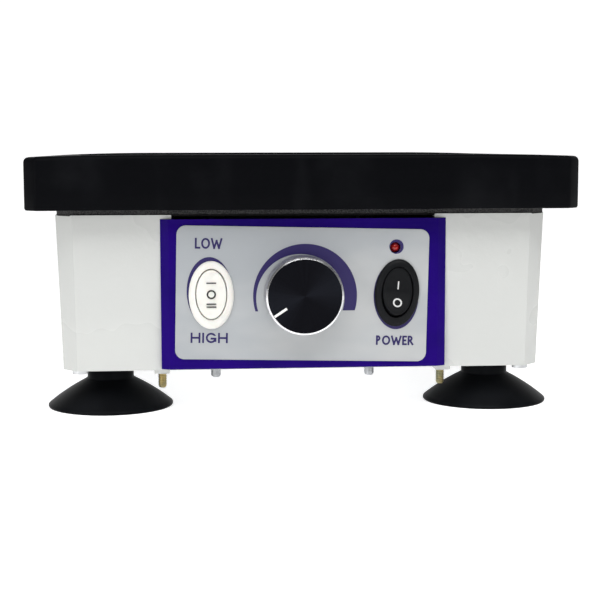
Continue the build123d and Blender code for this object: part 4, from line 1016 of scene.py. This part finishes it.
@dataclass
class Drive:
    """Electromagnet and electronics inside the casing."""

    plain: dict[str, Finish] = field(default_factory=lambda: {
        "magnet_carrier": ZINC,
        "magnet_core": CORE_IRON,
        "coil_bobbin": BLACK_PLASTIC,
        "coil_winding": WINDING,
        "magnet_cleats": ZINC,
        "cleat_screws": ZINC,
        "control_board": BOARD,
        "board_standoffs": BRASS,
        "board_screws": ZINC,
        "heat_sink": ALUMINIUM,
        "triac": BLACK_PLASTIC,
        "filter_capacitor": YELLOW_PLASTIC,
        "terminal_block": WHITE_PLASTIC,
    })

    def build(self, frame: dict) -> None:
        """Dress every piece."""
        for node, finish in self.plain.items():
            dress(node, finish, frame)


@dataclass
class RearFittings:
    """Cable gland and fuse holder on the rear wall."""

    def build(self, frame: dict) -> None:
        """Dress every piece.
        """
        for node in ("cable_gland", "gland_locknut", "fuse_holder"):
            dress(node, SOFT_BLACK, frame)
        dress("gland_dome_nut", SOFT_BLACK, frame)
        dress("fuse_cap", BLACK_PLASTIC, frame)
        dress("fuse", FUSE_GLASS, frame)


@dataclass
class Knob:
    """Fluted aluminium knob with a bright chamfer."""

    teeth: int = 96
    steps: int = 6
    tooth_depth: float = 0.32 * MM
    chamfer: float = 0.85 * MM
    flute_start: float = 1.9 * MM

    def ring(self, centre: Vector, radius: float, y: float, depth: float) -> Ring:
        """One ring of the knob, fluted by depth.

        Args:
            centre: middle of the knob.
            radius: radius at the crests of the flutes.
            y: place along the axis.
            depth: how deep the flutes are, or 0 for a plain ring.

        Returns:
            The points of the ring.
        """
        ring = []
        count = self.teeth * self.steps
        for index in range(count):
            turn = 2 * math.pi * index / count
            wave = 0.5 - 0.5 * math.cos(2 * math.pi * (index % self.steps) / self.steps)
            reach = radius - depth * wave
            ring.append(Vector((centre.x + reach * math.cos(turn), y, centre.z + reach * math.sin(turn))))
        return ring

    def build(self) -> None:
        """Build the knob in place of its plain node."""
        low, high = (Vector(corner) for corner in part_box("knob"))
        centre = (low + high) / 2
        radius = (high.x - low.x) / 2
        face = low.y + 0.07 * MM
        inner = radius - self.chamfer
        depth = self.tooth_depth
        stack = [
            (0.3 * MM, face + 0.02 * MM, 0.0), (4.0 * MM, face, 0.0), (inner - 0.25 * MM, face, 0.0),
            (inner, face, 0.0), (radius - 0.08 * MM, low.y + self.chamfer * 0.9, 0.0),
            (radius, low.y + self.chamfer * 1.05, 0.0), (radius, low.y + self.flute_start, 0.0),
            (radius, low.y + self.flute_start + 0.35 * MM, depth), (radius, high.y - 1.6 * MM, depth),
            (radius, high.y - 1.2 * MM, 0.0), (radius, high.y - 0.3 * MM, 0.0),
            (radius - 0.3 * MM, high.y, 0.0), (4.0 * MM, high.y, 0.0), (3.2 * MM, high.y - 1.0 * MM, 0.0),
            (0.3 * MM, high.y - 1.0 * MM, 0.0),
        ]
        rings = [self.ring(centre, *layer) for layer in stack]
        knob = new_piece("fluted_knob", *loft(rings), sharp=26)
        face_finish = TurnedFace("turned black face", (centre.x, centre.z))
        settle(knob, "strength_knob", face_finish, "black_anodised", "knob")
        knob.data.materials.append(CHAMFER_METAL.material())
        knob.data.materials.append(KNURLED_METAL.material())
        count = self.teeth * self.steps
        chamfer_layer = 3
        for polygon in knob.data.polygons:
            layer = polygon.index // count
            if layer == chamfer_layer:
                polygon.material_index = 1
            elif chamfer_layer < layer < len(stack) - 1:
                polygon.material_index = 2


@dataclass
class Rocker:
    """One oval rocker switch: bezel, well and rocker."""

    key: str
    body: str
    finish: Finish
    slot: str
    marks: Finish
    tilt: float = 0.0
    pressed: float = 0.0
    bezel: tuple[float, float] = (10.25 * MM, 15.5 * MM)
    drop: float = 0.45 * MM
    well: tuple[float, float] = (7.2 * MM, 11.55 * MM)
    paddle: tuple[float, float] = (6.85 * MM, 11.1 * MM)
    slope: float = 10.0
    pivot_depth: float = 3.0 * MM
    bezel_height: float = 2.0 * MM
    valley_r: float = 1.8 * MM
    sides: int = 96

    def oval(self, place: Matrix, half_x: float, half_z: float, y: float, middle: float = 0.0) -> Ring:
        """Make an oval ring in the switch's own frame.

        Args:
            place: frame on the bezel face.
            half_x: half width of the oval.
            half_z: half height of the oval.
            y: depth behind the bezel face.
            middle: height of the oval's middle above the axle.

        Returns:
            The points of the ring.
        """
        ring = []
        for index in range(self.sides):
            turn = 2 * math.pi * index / self.sides
            ring.append(place @ Vector((half_x * math.cos(turn), y, half_z * math.sin(turn) + middle)))
        return ring

    def place(self) -> Matrix:
        """Frame on the bezel face, level with the rocker's axle and turned by the switch's tilt.

        Returns:
            The frame.
        """
        low, high = (Vector(corner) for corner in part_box(f"{self.key}_switch_housing"))
        centre = (low + high) / 2
        place = Matrix.Translation((centre.x, low.y, centre.z + self.drop))
        return place @ Matrix.Rotation(math.radians(self.tilt), 4, "Y")

    def build_bezel(self) -> bpy.types.Object:
        """Sloping oval bezel with a deep well.

        Returns:
            The bezel.
        """
        place = self.place()
        outer_x, outer_z = self.bezel
        well_x, well_z = self.well
        back = self.bezel_height
        stack = [
            (outer_x - 1.4 * MM, outer_z - 1.8 * MM, 24.0 * MM),
            (outer_x - 1.4 * MM, outer_z - 1.8 * MM, back),
            (outer_x, outer_z, back), (outer_x, outer_z, back - 0.5 * MM),
            (outer_x - 0.12 * MM, outer_z - 0.12 * MM, back - 0.85 * MM),
            (outer_x - 0.5 * MM, outer_z - 0.5 * MM, back - 1.25 * MM),
            (outer_x - 1.2 * MM, outer_z - 1.3 * MM, back - 1.7 * MM),
            (well_x + 0.75 * MM, well_z + 0.75 * MM, 0.05 * MM),
            (well_x + 0.35 * MM, well_z + 0.35 * MM, 0.0),
            (well_x + 0.08 * MM, well_z + 0.08 * MM, 0.22 * MM), (well_x, well_z, 0.6 * MM),
            (well_x, well_z, 6.0 * MM), (well_x, well_z, 17.5 * MM),
        ]
        outside = 7
        rings = [self.oval(place, *layer, -self.drop) for layer in stack[:outside]]
        rings += [self.oval(place, *layer) for layer in stack[outside:]]
        return new_piece(f"{self.key}_bezel", *loft(rings), sharp=40)

    def build_paddle(self) -> bpy.types.Object:
        """Rocker with a shallow V face and rounded edge, round about its pivot.

        Returns:
            The rocker.
        """
        axle = Matrix.Translation((0, self.pivot_depth, 0))
        place = self.place() @ (axle @ Matrix.Rotation(math.radians(-self.pressed), 4, "X"))
        half_x, half_z = self.paddle
        steep = math.tan(math.radians(self.slope))
        rings = []
        edge = [(0.02, 0.0), (0.3, 0.0), (0.6, 0.0), (0.85, 0.0)]
        edge += [(0.945, 0.02), (0.975, 0.16), (0.992, 0.42), (1.0, 0.8)]
        for share, sunk in edge:
            ring = []
            for index in range(self.sides):
                turn = 2 * math.pi * index / self.sides
                x, z = half_x * share * math.cos(turn), half_z * share * math.sin(turn)
                valley = math.sqrt(z * z + self.valley_r**2) * steep
                ring.append(place @ Vector((x, -self.pivot_depth * 0.86 - valley + sunk * MM, z)))
            rings.append(ring)
        for depth in (0.5, 4.0):
            ring = []
            for index in range(self.sides):
                turn = 2 * math.pi * index / self.sides
                x, z = half_x * 1.01 * math.cos(turn), half_z * 1.01 * math.sin(turn)
                ring.append(place @ Vector((x, depth * MM, z)))
            rings.append(ring)
        return new_piece(f"{self.key}_paddle", *loft(rings), sharp=60)

    def build(self, frame: dict) -> None:
        """Build bezel and rocker and dress the marks and blades.
        """
        settle(self.build_bezel(), "base", self.finish, self.slot, f"{self.key}_switch_housing")
        settle(self.build_paddle(), self.body, self.finish, self.slot, f"{self.key}_rocker")
        dress(f"{self.key}_rocker_marks", self.marks, frame)
        dress(f"{self.key}_switch_terminals", BRASS, frame)


@dataclass
class ControlPanel:
    """Lacquered tray with label, knob, switches and lamp."""

    def build(self, frame: dict) -> None:
        """Build the controls and dress the panel.
        """
        dress("front_panel", LACQUER, frame, 0.35 * MM)
        dress("panel_overlay", LABEL, frame, 0.12 * MM)
        dress("panel_print", INDIGO_INK, frame)
        dress("knob_pointer", WHITE_INK, frame)
        for node in ("panel_straps", "panel_nuts", "knob_grub_screw"):
            dress(node, ZINC, frame)
        for node in ("potentiometer_shaft", "potentiometer_body"):
            dress(node, ZINC, frame)
        dress("indicator_lamp", RED_LENS, frame)
        dress("indicator_holder", BLACK_PLASTIC, frame)
        Knob().build()
        Rocker("mode", "mode_switch", WHITE_PLASTIC, "white_plastic", BLACK_INK).build(frame)
        power = Rocker("power", "power_switch", SOFT_BLACK, "black_plastic", GREY_INK, 5.0, 11.0)
        power.build(frame)


# ---------------------------------------------------------------- studio

@dataclass
class Studio:
    """Pale floor, soft lights and the camera."""

    eye: tuple[float, float, float] = (-0.0522, -0.735, 0.1223)
    yaw: float = 0.079
    pitch: float = 0.109
    roll: float = -0.002
    lens: float = 83.96
    floor_colour: Colour = (0.86, 0.86, 0.86)

    def build_floor(self) -> None:
        """Large matte floor that sweeps up into a backdrop."""
        width, front, bend, height = 6.0, -4.0, 2.5, 3.0
        profile = [(front, 0.0), (bend, 0.0)]
        for step in range(1, 13):
            turn = math.pi / 2 * step / 12
            profile.append((bend + math.sin(turn), 1 - math.cos(turn)))
        profile.append((bend + 1, height))
        points = [Vector((side * width, y, z)) for y, z in profile for side in (-1, 1)]
        faces = [[2 * i, 2 * i + 1, 2 * i + 3, 2 * i + 2] for i in range(len(profile) - 1)]
        floor = new_piece("floor", points, faces, sharp=80)
        graph = Graph("pale floor")
        tone = graph.noise(3, 2)
        darker = tuple(part * 0.985 for part in self.floor_colour)
        graph.surface(Base_Color=graph.mix(tone, self.floor_colour, darker), Roughness=0.9)
        graph.surface(Specular_IOR_Level=0.1, Emission_Color=(1.0, 1.0, 1.0), Emission_Strength=0.68)
        floor.data.materials.append(graph.material)

    @staticmethod
    def add_light(name: str, place: Colour, size: tuple[float, float], watts: float) -> None:
        """Rectangular soft light aimed at the middle of the object.

        Args:
            name: name of the light.
            place: where it stands.
            size: width and height, in metres.
            watts: power.
        """
        light = bpy.data.lights.new(name, "AREA")
        light.shape = "RECTANGLE"
        light.size, light.size_y = size
        light.energy = watts
        lamp = bpy.data.objects.new(name, light)
        lamp.location = place
        aim = Vector((0, 0, 0.06)) - Vector(place)
        lamp.rotation_euler = aim.to_track_quat("-Z", "Y").to_euler()
        bpy.context.scene.collection.objects.link(lamp)

    def build_lights(self) -> None:
        """Even white surroundings, a large light overhead and a narrow strip at each side."""
        world = bpy.data.worlds.new("white_surround")
        world.use_nodes = True
        world.node_tree.nodes["Background"].inputs["Color"].default_value = (1, 1, 1, 1)
        world.node_tree.nodes["Background"].inputs["Strength"].default_value = 0.16
        bpy.context.scene.world = world
        self.add_light("overhead", (0.0, -0.85, 1.25), (1.5, 1.0), 18.0)
        self.add_light("left_strip", (-0.85, -0.85, 0.22), (0.10, 0.6), 2.4)
        self.add_light("right_strip", (1.0, -0.7, 0.25), (0.25, 0.6), 0.6)

    def build_camera(self) -> None:
        """Camera that looks slightly down and to the right."""
        sin_y, cos_y = math.sin(self.yaw), math.cos(self.yaw)
        sin_p, cos_p = math.sin(self.pitch), math.cos(self.pitch)
        ahead = Vector((sin_y * cos_p, cos_y * cos_p, -sin_p))
        right = Vector((cos_y, -sin_y, 0))
        up = right.cross(ahead)
        rolled_right = right * math.cos(self.roll) + up * math.sin(self.roll)
        rolled_up = up * math.cos(self.roll) - right * math.sin(self.roll)
        turn = Matrix((rolled_right, rolled_up, -ahead)).transposed().to_4x4()
        lens = bpy.data.cameras.new("camera")
        lens.lens = self.lens
        lens.sensor_width = 36.0
        lens.clip_start = 0.01
        camera = bpy.data.objects.new("camera", lens)
        camera.matrix_world = Matrix.Translation(self.eye) @ turn
        bpy.context.scene.collection.objects.link(camera)
        bpy.context.scene.camera = camera

    def build(self) -> None:
        """Set up floor, lights and camera."""
        self.build_floor()
        self.build_lights()
        self.build_camera()
        bpy.context.scene.view_settings.view_transform = "Standard"


def main() -> None:
    """Load the frame, build every sub-assembly and set up the studio."""
    logging.basicConfig(level=logging.INFO)
    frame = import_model()
    for part in (Platform(), Housing(), Drive(), ControlPanel(), RearFittings()):
        part.build(frame)
        LOG.info("built %s", type(part).__name__)
    Studio().build()


if __name__ == "__main__":
    main()
